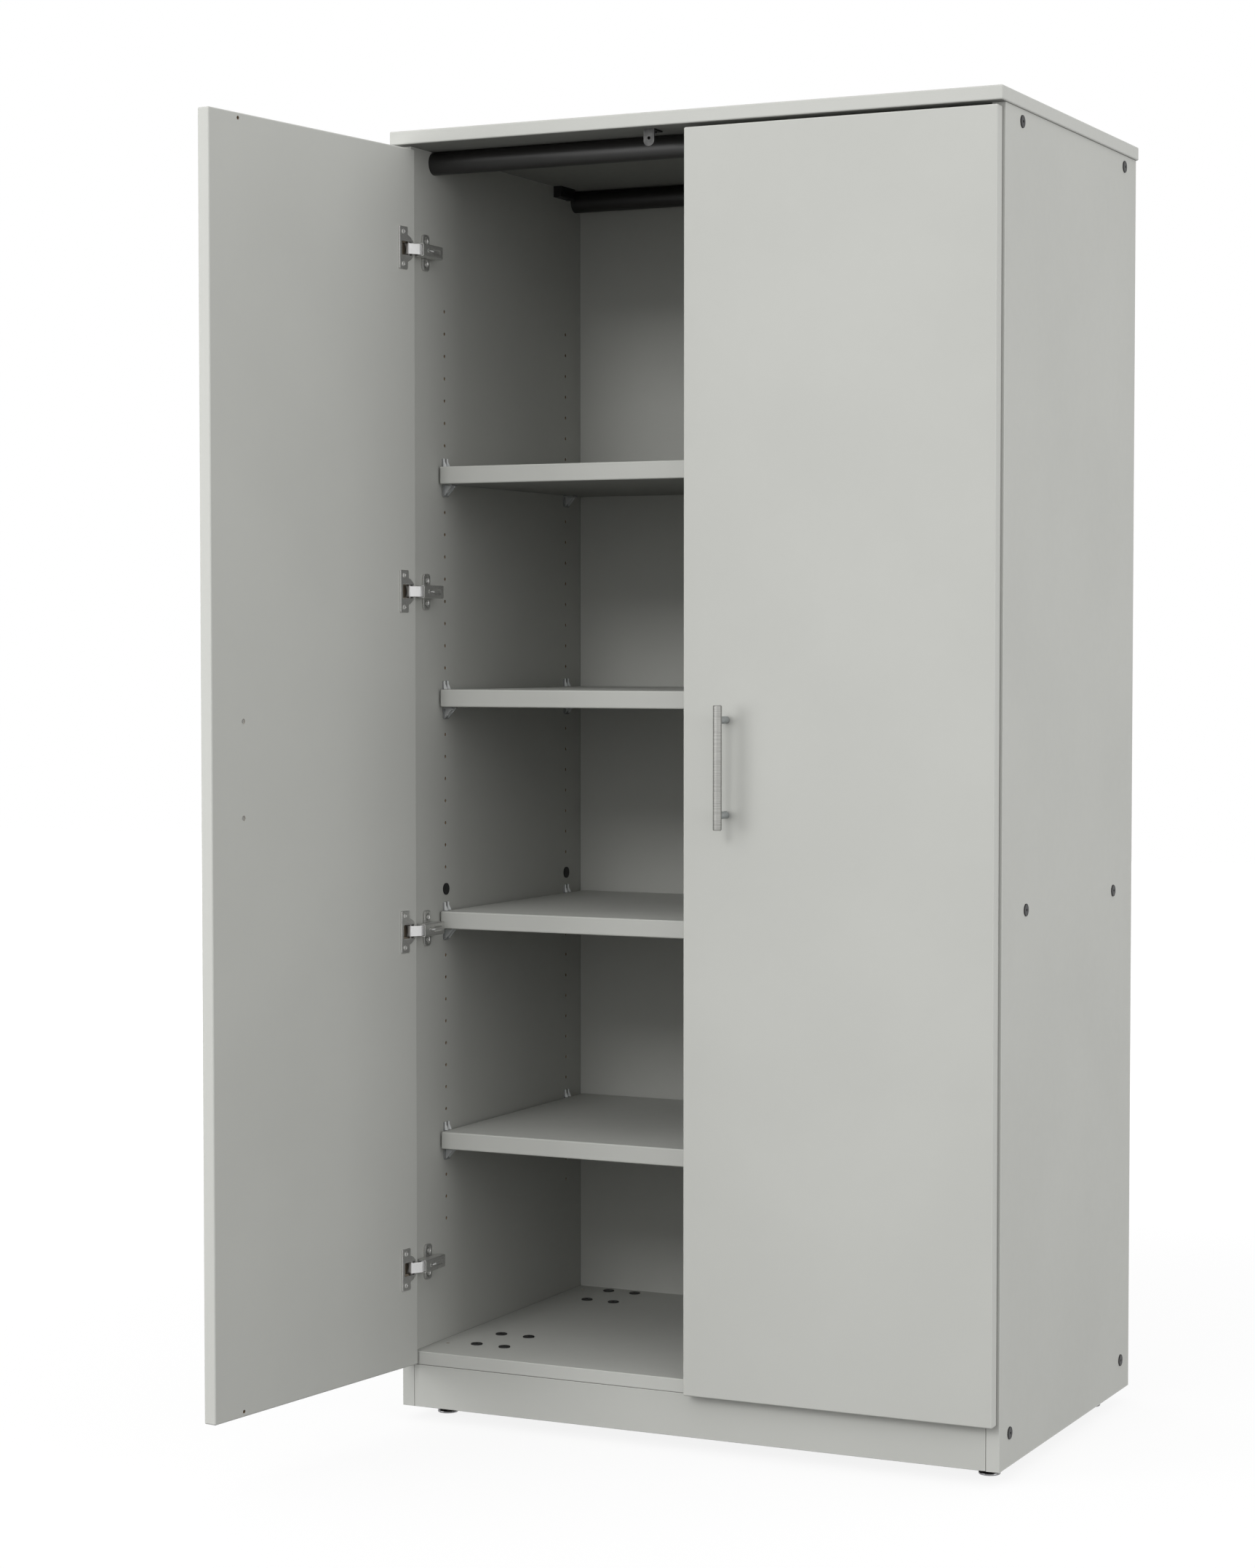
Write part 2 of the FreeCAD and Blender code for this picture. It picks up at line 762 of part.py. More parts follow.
def door_bracket():
    """Bent strip: one leg on the top's underside, one rounded tongue with a hole behind the left door."""
    x0 = -fixing_x - bracket_width / 2
    x1 = -fixing_x + bracket_width / 2
    leg = block(x0, x1, front, front + bracket_leg, carcass_top - bracket_sheet, carcass_top)
    round_z = carcass_top - bracket_drop + bracket_width / 2
    tongue = block(x0, x1, front, front + bracket_sheet, round_z, carcass_top)
    tip = rod(bracket_width / 2, Vector(-fixing_x, front, round_z), along_y, bracket_sheet)
    holes = [rod(bracket_hole_radius, Vector(-fixing_x, front, fixing_heights[-1]), along_y, bracket_sheet)]
    seat, direction = bracket_screw_place()
    holes.append(rod(screw_radius + play, seat, direction, bracket_sheet))
    return cut(fuse(leg, [tongue, tip]), holes)


def foot(x, y):
    """Round pad, short cone and screwed stem with a slot for adjusting from above."""
    base = Vector(x, y, 0)
    pad = softened(rod(foot_pad_radius, base, along_z, foot_pad_height), foot_pad_round)
    cone_low = foot_pad_radius - 2 * foot_pad_round
    cone_base = base + along_z * foot_pad_height
    cone = Part.makeCone(cone_low, foot_cone_radius, foot_cone_height, cone_base, along_z)
    stem_base = cone_base + along_z * foot_cone_height
    stem = rod(foot_stem_radius, stem_base, along_z, foot_stem_top - stem_base.z)
    half = foot_slot_width / 2
    reach = foot_stem_radius
    slot = block(x - reach, x + reach, y - half, y + half, foot_stem_top - foot_slot_depth, foot_stem_top)
    return cut(fuse(pad, [cone, stem]), [slot])


def foot_socket(y):
    low_z = bottom_low - socket_height
    y0 = y - socket_half_depth
    y1 = y + socket_half_depth
    body = block(foot_x - socket_outer, inner_x, y0, y1, low_z, bottom_low)
    return body.cut(rod(foot_stem_radius + play, Vector(foot_x, y, low_z), along_z, socket_height))


# The left door stands open: its link turns about the arm's pin, the door about the cup's pin


def turned_link(shape):
    turned = shape.copy()
    turned.rotate(Vector(-arm_pin.x, arm_pin.y, 0), along_z, left_open_angle * link_share)
    return turned


def turned_door(shape):
    turned = shape.copy()
    turned.rotate(Vector(-cup_pin.x, cup_pin.y, 0), along_z, -left_open_angle * (1 + link_share))
    return turned_link(turned)


def save_door_set(name, shapes):
    """The closed right-hand pieces, and their mirror images turned to the open left door."""
    save("right_" + name, shapes)
    save("left_" + name, [turned_door(mirrored(shape)) for shape in shapes])


# Carcass
save("right_side_panel", [side_panel()])
save("left_side_panel", [mirrored(side_panel())])
save("top_panel", [top_panel()])
save("bottom_panel", [bottom_panel()])
save("back_panel", [back_panel()])
save("front_plinth", [front_plinth()])
save("board_dowels", both_sides([dowel(*place) for place in dowel_places()]))

# Shelves
for number in range(1, shelf_count + 1):
    save("shelf_%d" % number, [shelf(number)])
    save("shelf_%d_clips" % number, both_sides([shelf_clip(number, y) for y in pin_columns]))

# Doors with what moves along with them
save_door_set("door", [door()])
save_door_set("hinge_cups", [hinge_cup(middle) for middle in hinge_heights])
save_door_set("hinge_cup_screws", [wood_screw(*place) for place in cup_screw_places()])
save_door_set("hinge_cup_pins", [hinge_cup_pin(middle) for middle in hinge_heights])
save_door_set("handle_bar", [handle_bar()])
save_door_set("handle_posts", [handle_post(z) for z in handle_heights])
save_door_set("handle_screws", [handle_screw(z) for z in handle_heights])
links = [hinge_link(middle) for middle in hinge_heights]
save("right_hinge_links", links)
save("left_hinge_links", [turned_link(mirrored(shape)) for shape in links])

# Hinge pieces on the carcass
arms = [hinge_arm(middle) for middle in hinge_heights]
plates = [hinge_plate(middle) for middle in hinge_heights]
arm_pins = []
for middle in hinge_heights:
    pin_start = arm_pin + along_z * (middle - arm_half_width)
    arm_pins.append(rod(hinge_pin_radius, pin_start, along_z, 2 * arm_half_width))
for side, place in (("right_", list), ("left_", lambda shapes: [mirrored(shape) for shape in shapes])):
    save(side + "hinge_arms", place(arms))
    save(side + "hinge_plates", place(plates))
save("hinge_arm_pins", both_sides(arm_pins))
save("hinge_adjusters", both_sides([hinge_adjuster(middle) for middle in hinge_heights]))
save("hinge_plate_screws", both_sides([wood_screw(*place) for place in plate_screw_places()]))

# Rails and bolts
for name, axis in rail_axes.items():
    save(name, [cross_rail(*axis)])
save("rail_plugs", both_sides([rail_plug(*axis) for axis in rail_axes.values()]))
rail_bolts = [connector_bolt(*place, board + rail_bolt_grip) for place in rail_bolt_places()]
save("rail_bolts", both_sides(rail_bolts))
save("link_bolts", both_sides([connector_bolt(*place, board) for place in link_bolt_places()]))
link_nuts = [cap_nut(seat + direction * board, direction * -1) for seat, direction in link_bolt_places()]
save("link_bolt_nuts", both_sides(link_nuts))
save("floor_bolts", both_sides([connector_bolt(*place, board) for place in floor_bolt_places()]))
floor_nuts = [cap_nut(seat + direction * board, direction * -1) for seat, direction in floor_bolt_places()]
save("floor_bolt_nuts", both_sides(floor_nuts))

# Small fittings
save("corner_blocks", both_sides([corner_block(start) for start in corner_block_starts]))
fitting_screws = both_sides([wood_screw(*place) for place in corner_screw_places()])
save("fitting_screws", fitting_screws + [wood_screw(*bracket_screw_place())])
save("door_bracket", [door_bracket()])
for depth, y in foot_ys.items():
    save(depth + "_right_foot", [foot(foot_x, y)])
    save(depth + "_left_foot", [foot(-foot_x, y)])
save("foot_sockets", both_sides([foot_socket(y) for y in foot_ys.values()]))
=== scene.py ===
# %% [markdown]
# # A two-door wardrobe cupboard, dressed
# The boards, hinges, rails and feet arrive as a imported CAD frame, already in their real places.
# Blender's work here is the finish: the satin skin of faced board, plated hinges, clear clips
# and the light. Everything is in metres, X to the right, Y to the back and Z up, with the floor
# at zero.

# %% Load the frame
import json
import math

import bpy
import numpy as np
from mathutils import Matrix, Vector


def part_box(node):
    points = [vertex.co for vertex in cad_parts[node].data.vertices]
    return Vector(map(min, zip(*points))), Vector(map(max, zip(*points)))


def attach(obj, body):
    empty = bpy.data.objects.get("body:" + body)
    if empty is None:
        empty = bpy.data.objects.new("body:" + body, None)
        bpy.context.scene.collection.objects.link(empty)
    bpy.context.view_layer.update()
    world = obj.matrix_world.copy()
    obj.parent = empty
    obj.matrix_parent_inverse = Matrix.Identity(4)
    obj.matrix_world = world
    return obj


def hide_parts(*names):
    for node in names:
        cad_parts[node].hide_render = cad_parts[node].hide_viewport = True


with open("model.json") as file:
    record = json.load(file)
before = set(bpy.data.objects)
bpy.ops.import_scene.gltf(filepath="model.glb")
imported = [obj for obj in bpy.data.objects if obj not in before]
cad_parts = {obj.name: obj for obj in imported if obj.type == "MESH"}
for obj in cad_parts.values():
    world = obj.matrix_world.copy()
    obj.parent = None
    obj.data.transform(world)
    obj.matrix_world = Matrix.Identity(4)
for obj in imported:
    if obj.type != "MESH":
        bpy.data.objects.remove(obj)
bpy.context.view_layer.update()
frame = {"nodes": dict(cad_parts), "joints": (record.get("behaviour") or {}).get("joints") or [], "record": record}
nodes = frame["nodes"]

# %% [markdown]
# ## The camera
# A studio picture of a tall cupboard is taken with a long lens, from a little right of the middle
# and about chest height, so that the front, the right side and the inside of the open left door
# all show. A camera could be aimed with a constraint, but a fixed place with a heading and a tilt
# keeps the framing exact.

# %% Camera
image_width, image_height = 1725, 2156
camera_place = (1.85836, -4.34622, 1.10676)
camera_heading, camera_tilt = math.radians(25.6683), math.radians(-2.4014)
lens_in_pixels, sensor_width = 4504.12, 36.0

lens = bpy.data.cameras.new("studio_camera")
lens.sensor_fit = "HORIZONTAL"
lens.sensor_width = sensor_width
lens.lens = lens_in_pixels * sensor_width / image_width
camera = bpy.data.objects.new("studio_camera", lens)
camera.location = camera_place
camera.rotation_euler = (math.pi / 2 + camera_tilt, 0.0, camera_heading)
bpy.context.scene.collection.objects.link(camera)
bpy.context.scene.camera = camera
print("lens", round(lens.lens, 3), "mm for an image of", image_width, "by", image_height)

# %% [markdown]
# ## Helpers for node materials
# A material is a small graph. Writing each node and link by hand gets long, so one helper adds a
# node with its settings and plugs its inputs, either with a number or with the output of an
# earlier node. The others are the few sums and textures that every finish below is made of.

# %% Node helpers
def plug(tree, node, inputs):
    """Fills sockets by name or index: a number stays on the socket, an output is linked to it."""
    for key, value in inputs.items():
        if isinstance(value, bpy.types.NodeSocket):
            tree.links.new(value, node.inputs[key])
        else:
            node.inputs[key].default_value = value


def add_node(tree, kind, inputs=None, **settings):
    """Adds one node: settings are its own options, inputs fill its sockets."""
    node = tree.nodes.new(kind)
    for key, value in settings.items():
        setattr(node, key, value)
    plug(tree, node, inputs or {})
    return node


def start_material(name):
    """A new material, its tree and its Principled shader, ready for links."""
    material = bpy.data.materials.new(name)
    material.use_nodes = True
    tree = material.node_tree
    return material, tree, tree.nodes["Principled BSDF"]


def maths(tree, operation, a, b=0.0):
    """One sum of two values."""
    return add_node(tree, "ShaderNodeMath", {0: a, 1: b}, operation=operation).outputs[0]


def ramp(tree, value, low, high, start=0.0, end=1.0):
    """A smooth step: start below low, end above high."""
    sockets = {"Value": value, "From Min": low, "From Max": high, "To Min": start, "To Max": end}
    step = add_node(tree, "ShaderNodeMapRange", sockets, interpolation_type="SMOOTHSTEP")
    return step.outputs["Result"]


def blend_colour(tree, share, first, second):
    """The first colour at a share of 0, the second at 1."""
    sockets = {"Factor": share, 6: first, 7: second}
    return add_node(tree, "ShaderNodeMix", sockets, data_type="RGBA").outputs[2]

# %% Textures and bumps
noise_low, noise_high = 0.3, 0.7


def object_place(tree):
    """A point's place in its own object, which here is its place in the room at rest."""
    return add_node(tree, "ShaderNodeTexCoord").outputs["Object"]


def stretched(tree, place, scales):
    """A place scaled differently along each axis, for brushed and drawn finishes."""
    sockets = {"Vector": place, "Scale": scales}
    return add_node(tree, "ShaderNodeMapping", sockets).outputs["Vector"]


def noise(tree, place, scale, detail=3.0, roughness=0.5):
    """A cloud of values round one half, scale clouds to the metre."""
    sockets = {"Vector": place, "Scale": scale, "Detail": detail, "Roughness": roughness}
    return add_node(tree, "ShaderNodeTexNoise", sockets).outputs["Fac"]


def wandering(tree, cloud, start=0.0, end=1.0):
    """A value that wanders from start to end with a noise, whose values lie mostly midway."""
    return ramp(tree, cloud, noise_low, noise_high, start, end)


def bumped(tree, shader, height, strength, depth):
    """Plugs a height into the shader's normal as a bump of the given depth in metres."""
    sockets = {"Height": height, "Strength": strength, "Distance": depth}
    plug(tree, shader, {"Normal": add_node(tree, "ShaderNodeBump", sockets).outputs["Normal"]})


def dress(node_name, material):
    """Gives a CAD node its finish through its object's own material slots."""
    slots = nodes[node_name].material_slots
    for slot in slots:
        slot.link = "OBJECT"
        slot.material = material
    return len(slots)

# %% [markdown]
# ## The board
# The cupboard is chipboard faced with a warm grey decor paper and edged with a 2 mm plastic band.
# A plain colour would look like cardboard. Four things tell the eye what it is: a fine pressed pearl texture, a
# faint cloudiness in the grey, the hair-thin joint where the band meets the face, and raw brown chips inside every
# drilled hole. Painted shade is added too: a darker grey on the undersides of the top and the shelves, and a dark
# painted shadow line where boards butt together. All of it depends only on where a point lies in its own board, so
# each board gets a copy of the same graph with its own box written in.

# %% Board colours and scales
board_grey, board_cloud = (0.515, 0.520, 0.492, 1.0), (0.497, 0.502, 0.475, 1.0)
band_grey, joint_grey = (0.532, 0.537, 0.509, 1.0), (0.348, 0.350, 0.326, 1.0)
# Painted shade: a dark line where boards butt together, and a darker grey for the undersides of the top and the
# shelves.
gap_shadow_grey, underside_shade_grey = (0.200, 0.200, 0.188, 1.0), (0.242, 0.244, 0.231, 1.0)
chip_light, chip_dark = (0.430, 0.310, 0.190, 1.0), (0.170, 0.110, 0.062, 1.0)
band_thickness, joint_half, gap_shadow_width, underside_shade_depth = 0.0020, 0.00016, 0.0009, 0.0004
cloud_scale, speckle_scale, chip_scale, sheen_scale = 4.0, 1500.0, 700.0, 90.0
pearl_scale, pearl_strength, pearl_depth = 1100.0, 0.12, 0.0004
speckle_span, speckle_share, chip_span, joint_share = (0.55, 0.75), 0.10, (0.35, 0.65), 0.45
hole_depth, hole_margin = (0.0004, 0.0007), (0.0026, 0.0032)
face_roughness, band_polish, board_specular = (0.62, 0.70), 0.06, 0.25
print("edge band", band_thickness, "m with a joint of", 2 * joint_half, "m")

# %% Board graph
def inside_distance(tree, value, low, high):
    """How far a coordinate lies inside the span from low to high: the smaller of two distances."""
    above, below = maths(tree, "SUBTRACT", value, low), maths(tree, "SUBTRACT", high, value)
    return maths(tree, "MINIMUM", above, below)


def place_in_board(tree, turn):
    """Object coordinates, brought back by a turn about a pivot for a board that stands askew."""
    place = object_place(tree)
    if turn is None:
        return place
    angle, pivot = turn
    away = {"Vector": place, "Location": [-v for v in pivot]}
    shifted = add_node(tree, "ShaderNodeMapping", away).outputs["Vector"]
    back = {"Vector": shifted, "Rotation": (0.0, 0.0, angle), "Location": pivot}
    return add_node(tree, "ShaderNodeMapping", back).outputs["Vector"]


def decor_colour(tree, place, margin, band):
    """Cloudy, speckled grey, then the band's grey at the rim and a fine line where they meet."""
    cloud = wandering(tree, noise(tree, place, cloud_scale, detail=4.0))
    specks = noise(tree, place, speckle_scale, detail=1.0)
    speckle = ramp(tree, specks, *speckle_span, 0.0, speckle_share)
    face = blend_colour(tree, cloud, board_grey, board_cloud)
    skin = blend_colour(tree, band, blend_colour(tree, speckle, face, band_grey), band_grey)
    from_joint = maths(tree, "ABSOLUTE", maths(tree, "SUBTRACT", margin, band_thickness))
    joint = ramp(tree, from_joint, 0.0, joint_half, joint_share, 0.0)
    return blend_colour(tree, joint, skin, joint_grey)


def board_finish(name, low, high, turn=None, shadow_seams=(), shaded_under=False):
    """Faced board. low and high are the board's corners; turn is (angle, pivot) for a board that stands askew; the
    fifth argument lists (axis, end) pairs where another board butts against this one, and a dark line of painted
    shadow is drawn along each; the last argument, when true, paints shade on the board's underside, inside its
    edge band."""
    material, tree, shader = start_material(name)
    place = place_in_board(tree, turn)
    parts = add_node(tree, "ShaderNodeSeparateXYZ", {"Vector": place}).outputs
    spans = [inside_distance(tree, parts[axis], low[axis], high[axis]) for axis in range(3)]
    depth = spans.pop(int(np.argmin(np.subtract(high, low))))
    margin = maths(tree, "MINIMUM", spans[0], spans[1])
    band = ramp(tree, margin, band_thickness, band_thickness + joint_half, 1.0, 0.0)
    skin = decor_colour(tree, place, margin, band)
    # Painted shade: the underside, inside the edge band, turns a darker grey.
    if shaded_under:
        above = maths(tree, "SUBTRACT", parts[2], low[2])
        underside_shade = ramp(tree, above, 0.5 * underside_shade_depth, underside_shade_depth, 1.0, 0.0)
        underside_shade = maths(tree, "MULTIPLY", underside_shade, maths(tree, "SUBTRACT", 1.0, band))
        skin = blend_colour(tree, underside_shade, skin, underside_shade_grey)
    chip = ramp(tree, noise(tree, place, chip_scale, detail=4.0, roughness=0.7), *chip_span)
    within = ramp(tree, depth, *hole_depth), ramp(tree, margin, *hole_margin)
    raw = blend_colour(tree, chip, chip_dark, chip_light)
    skin = blend_colour(tree, maths(tree, "MULTIPLY", *within), skin, raw)
    # Painted shadow: a dark line along each edge where another board butts against this one.
    for axis, end in shadow_seams:
        from_end = maths(tree, "SUBTRACT", parts[axis], (low, high)[end][axis])
        from_end = maths(tree, "ABSOLUTE", from_end)
        gap_shadow = ramp(tree, from_end, 0.3 * gap_shadow_width, gap_shadow_width, 1.0, 0.0)
        skin = blend_colour(tree, gap_shadow, skin, gap_shadow_grey)
    sheen = wandering(tree, noise(tree, place, sheen_scale), *face_roughness)
    gloss = maths(tree, "SUBTRACT", sheen, maths(tree, "MULTIPLY", band, band_polish))
    plug(tree, shader, {"Base Color": skin, "Roughness": gloss, "Specular IOR Level": board_specular})
    bumped(tree, shader, noise(tree, place, pearl_scale, detail=2.0), pearl_strength, pearl_depth)
    return material

# %% Dress the boards
shelves = ["shelf_1", "shelf_2", "shelf_3", "shelf_4"]
boards = ["right_side_panel", "left_side_panel", "top_panel", "bottom_panel", "back_panel"]
boards += ["front_plinth"] + shelves + ["right_door"]
both_ends = [(0, 0), (0, 1)]
# Edges where another board butts against this one, each drawn with a painted shadow line.
shadowed_joins = {"front_plinth": [(2, 1)] + both_ends, "bottom_panel": both_ends, "back_panel": both_ends}
for board in boards:
    low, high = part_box(board)
    # The top and the shelves get painted shade on their undersides.
    shaded_under = board in shelves + ["top_panel"]
    dress(board, board_finish(board + "_finish", low, high, None, shadowed_joins.get(board, ()), shaded_under))
print("boards dressed", len(boards))

# %% [markdown]
# ## The open door
# The left door stands open, so its box in the room is no longer its own box. Its joints tell how
# to close it again: the door turns about the pin in its hinge cups while the links turn about the
# pins in the hinge arms. Folding both turns into one rotation about one point lets the board
# graph work in the closed door's frame.

# %% Left door finish
joints = {joint["name"]: joint for joint in frame["joints"]}


def turn_about(angle, pivot):
    """A plane rotation by angle about pivot, as a 3 by 3 matrix on (x, y, 1)."""
    c, s = math.cos(angle), math.sin(angle)
    px, py = pivot
    return np.array([[c, -s, px - c * px + s * py], [s, c, py - s * px - c * py], [0.0, 0.0, 1.0]])


def joint_turn(name, end):
    """The plane rotation that a hinge makes from rest to one end of its range."""
    joint = joints[name]
    angle = math.radians(joint["range_deg"][end]) * joint["axis"][2]
    return turn_about(angle, joint["pos_m"][:2])


closing = joint_turn("left_link_swing", 0) @ joint_turn("left_door_swing", 0)
closing_angle = math.atan2(closing[1, 0], closing[0, 0])
fixed_point = np.linalg.solve(np.eye(2) - closing[:2, :2], closing[:2, 2])
right_low, right_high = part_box("right_door")
left_low = (-right_high[0], right_low[1], right_low[2])
left_high = (-right_low[0], right_high[1], right_high[2])
pivot = (float(fixed_point[0]), float(fixed_point[1]), 0.0)
dress("left_door", board_finish("left_door_finish", left_low, left_high, (closing_angle, pivot)))
print("left door closes by", round(math.degrees(closing_angle), 2), "degrees about", np.round(pivot, 4))

# %% [markdown]
# ## Metals and plastics
# Plated and painted metal is never even: a drawn tube carries fine lines along its length, a
# turned bar fine rings, and plating clouds a little. A photograph of each could be wrapped round
# it, but one colour with such marks in its gloss, and in a very shallow bump, holds at any size.

# %% Metal and coat graphs
grain_detail, grain_roughness, mark_depth = 3.0, 0.6, 0.0002
plating_shade, worn_shade, worn_span = 0.86, 1.5, (0.45, 0.8)


def plated(name, colour, rough, marks, span, bump, metal=1.0, edge=1.0, scales=(1.0, 1.0, 1.0)):
    """Plated steel: a metal colour, gloss from a stretched noise, and the same marks as a shallow
    bump. metal under 1 is a satin plating that scatters light too; edge under 1 darkens the metal
    at a glancing angle."""
    material, tree, shader = start_material(name)
    place = stretched(tree, object_place(tree), scales)
    grain = noise(tree, place, marks, grain_detail, grain_roughness)
    shade = [plating_shade * v for v in colour]
    mixed = blend_colour(tree, wandering(tree, grain), (*colour, 1.0), (*shade, 1.0))
    gloss, tint = wandering(tree, grain, rough, rough + span), (edge, edge, edge, 1.0)
    plug(tree, shader, {"Base Color": mixed, "Roughness": gloss})
    plug(tree, shader, {"Metallic": metal, "Specular Tint": tint})
    bumped(tree, shader, grain, bump, mark_depth)
    return material


def dark_coat(name, colour, rough, marks, span, bump, specular=0.5):
    """Black paint, oxide or nylon: a dark body whose gloss and surface wander with a noise."""
    material, tree, shader = start_material(name)
    grain = noise(tree, object_place(tree), marks, grain_detail, grain_roughness)
    worn = [min(1.0, worn_shade * v) for v in colour]
    mixed = blend_colour(tree, ramp(tree, grain, *worn_span), (*colour, 1.0), (*worn, 1.0))
    gloss = wandering(tree, grain, rough, rough + span)
    plug(tree, shader, {"Base Color": mixed, "Roughness": gloss, "Specular IOR Level": specular})
    bumped(tree, shader, grain, bump, mark_depth)
    return material

# %% Metal and coat finishes
turned_rings = (1.0, 1.0, 26.0)
plate_satin, satin, soft_satin = 0.82, 0.6, 0.05
# Each row: colour, roughness, marks to the metre, roughness span, bump; then specular for a coat,
# or metal, edge and stretch for a plating.
coats = {
    "rail_black": ((0.013, 0.0125, 0.012), 0.40, 900.0, 0.05, 0.004, 0.6),
    "plug_black": ((0.020, 0.020, 0.020), 0.50, 900.0, 0.15, 0.20),
    "bolt_black": ((0.016, 0.016, 0.0165), 0.40, 700.0, 0.14, 0.10, 0.3),
    "block_black": ((0.014, 0.014, 0.014), 0.45, 900.0, 0.15, 0.20, 0.3),
}
platings = {
    "foot_chrome": ((0.25, 0.25, 0.255), 0.16, 300.0, 0.05, 0.04),
    "steel_plain": ((0.48, 0.47, 0.46), 0.28, 900.0, 0.10, 0.06),
    "zinc_screw": ((0.60, 0.60, 0.58), 0.28, 800.0, 0.12, 0.08, satin),
    # zinc_sheet, the bracket under the top, is the screws' zinc darkened to near black: painted shade.
    "zinc_sheet": ((0.075, 0.075, 0.074), 0.42, 260.0, 0.12, 0.06),
    "hinge_nickel": ((0.61, 0.61, 0.592), 0.34, 500.0, 0.12, 0.06, plate_satin),
    "link_bright": ((0.90, 0.90, 0.895), 0.22, 500.0, 0.08, 0.03, soft_satin),
    "handle_steel": ((0.37, 0.37, 0.354), 0.58, 30.0, 0.08, 0.08, 1.0, 0.10, turned_rings),
}
finishes = {slot: dark_coat(slot + "_finish", *values) for slot, values in coats.items()}
finishes.update({slot: plated(slot + "_finish", *values) for slot, values in platings.items()})
print("finishes", sorted(finishes))

# %% [markdown]
# ## Clear clips and beech dowels
# The shelf clips are clear polycarbonate, so they pass light and show as bright edges more than
# as a colour. Glass settings alone would look like crystal, so the moulding's flow clouds the
# gloss and the tint. The dowels never show, but they are still beech: darker late wood in streaks
# along their length.

# %% Clear plastic and beech
clear_tint, cloudy_tint = (0.92, 0.93, 0.93, 1.0), (0.84, 0.86, 0.86, 1.0)
flow_scale, plastic_roughness, plastic_index, flow_bump = 350.0, (0.08, 0.20), 1.30, 0.06
late_wood, early_wood = (0.52, 0.34, 0.19, 1.0), (0.66, 0.47, 0.29, 1.0)
wood_scales, wood_span = (60.0, 900.0, 900.0), (0.35, 0.65)
wood_roughness, wood_bump = (0.55, 0.7), 0.2
clip_clearness, prong_highlight_clearness, soft_depth = 0.70, 0.05, 0.0003


def clear_plastic(name, clearness):
    """Moulded plastic: light passes by the clearness; gloss and tint follow the mould's flow."""
    material, tree, shader = start_material(name)
    flow = noise(tree, object_place(tree), flow_scale, detail=2.0)
    tint = blend_colour(tree, flow, clear_tint, cloudy_tint)
    plug(tree, shader, {"Base Color": tint, "Roughness": wandering(tree, flow, *plastic_roughness)})
    plug(tree, shader, {"Transmission Weight": clearness, "IOR": plastic_index})
    bumped(tree, shader, flow, flow_bump, soft_depth)
    return material


def beech(name):
    """Wood: a noise drawn out along the grain sets the tint, the gloss and a shallow bump."""
    material, tree, shader = start_material(name)
    grain = noise(tree, stretched(tree, object_place(tree), wood_scales), 1.0, detail=4.0)
    tint = blend_colour(tree, ramp(tree, grain, *wood_span), late_wood, early_wood)
    plug(tree, shader, {"Base Color": tint, "Roughness": wandering(tree, grain, *wood_roughness)})
    bumped(tree, shader, grain, wood_bump, soft_depth)
    return material


finishes["clip_clear"] = clear_plastic("clip_clear_finish", clip_clearness)
# The prongs get a nearly opaque, whiter copy of the clip's plastic: painted highlight for the bright strokes on
# their slanted faces.
prong_painted_highlight = clear_plastic("prong_milky_finish", prong_highlight_clearness)
finishes["dowel_beech"] = beech("dowel_beech_finish")
dressed = 0
for part in frame["record"]["subparts"]:
    if part["material_slot"] in finishes:
        dressed += dress(part["node"], finishes[part["material_slot"]])
print("metal, plastic and wood nodes dressed", dressed)

# %% [markdown]
# ## Skins from arrays
# Every small fitting below is worked out as numbers first: rows of rings, each ring a closed line
# of points. Blender's own primitives and booleans could make them too, but a stack of rings gives
# soft rims, threads and pressed recesses with no clean-up, and the whole shape is one array.
# From here on, sizes are written in millimetres.

# %% Rings to a mesh
import bmesh

mm = 0.001


def ring_faces(rows, columns):
    """Four-sided faces between neighbouring rings; the last column joins the first."""
    row, column = np.meshgrid(np.arange(rows - 1), np.arange(columns), indexing="ij")
    after = (column + 1) % columns
    corners = [row * columns + column, row * columns + after]
    corners += [(row + 1) * columns + after, (row + 1) * columns + column]
    return np.stack(corners, axis=-1).reshape(-1, 4)


def skin(rings):
    """A closed skin: faces between neighbouring rings and one flat face over each end ring."""
    rows, columns = rings.shape[:2]
    first = np.arange(columns)[None, ::-1]
    last = (rows - 1) * columns + np.arange(columns)[None]
    return rings.reshape(-1, 3), [ring_faces(rows, columns), first, last]


def piece(name, shapes, body, slot, stands_for=(), finish=None):
    """Joins shapes into one object, turns faces outwards, cuts each end face into triangles that
    stay inside its outline, smooths the four-sided faces, and says what the object rides on and
    stands for."""
    points, faces, count = [], [], 0
    for shape_points, shape_faces in shapes:
        for group in shape_faces:
            faces += (group + count).tolist()
        points.append(shape_points)
        count += len(shape_points)
    mesh = bpy.data.meshes.new(name)
    mesh.from_pydata((np.concatenate(points) * mm).tolist(), [], faces)
    shell = bmesh.new()
    shell.from_mesh(mesh)
    bmesh.ops.recalc_face_normals(shell, faces=shell.faces)
    end_faces = [face for face in shell.faces if len(face.verts) > 4]
    bmesh.ops.triangulate(shell, faces=end_faces, ngon_method="EAR_CLIP")
    shell.to_mesh(mesh)
    shell.free()
    corners = np.empty(len(mesh.polygons), int)
    mesh.polygons.foreach_get("loop_total", corners)
    mesh.polygons.foreach_set("use_smooth", corners == 4)
    mesh.materials.append(finish or finishes[slot])
    thing = bpy.data.objects.new(name, mesh)
    bpy.context.scene.collection.objects.link(thing)
    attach(thing, body)
    if stands_for:
        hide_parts(*stands_for)
    print(name, len(shapes), "shapes", len(faces), "faces")

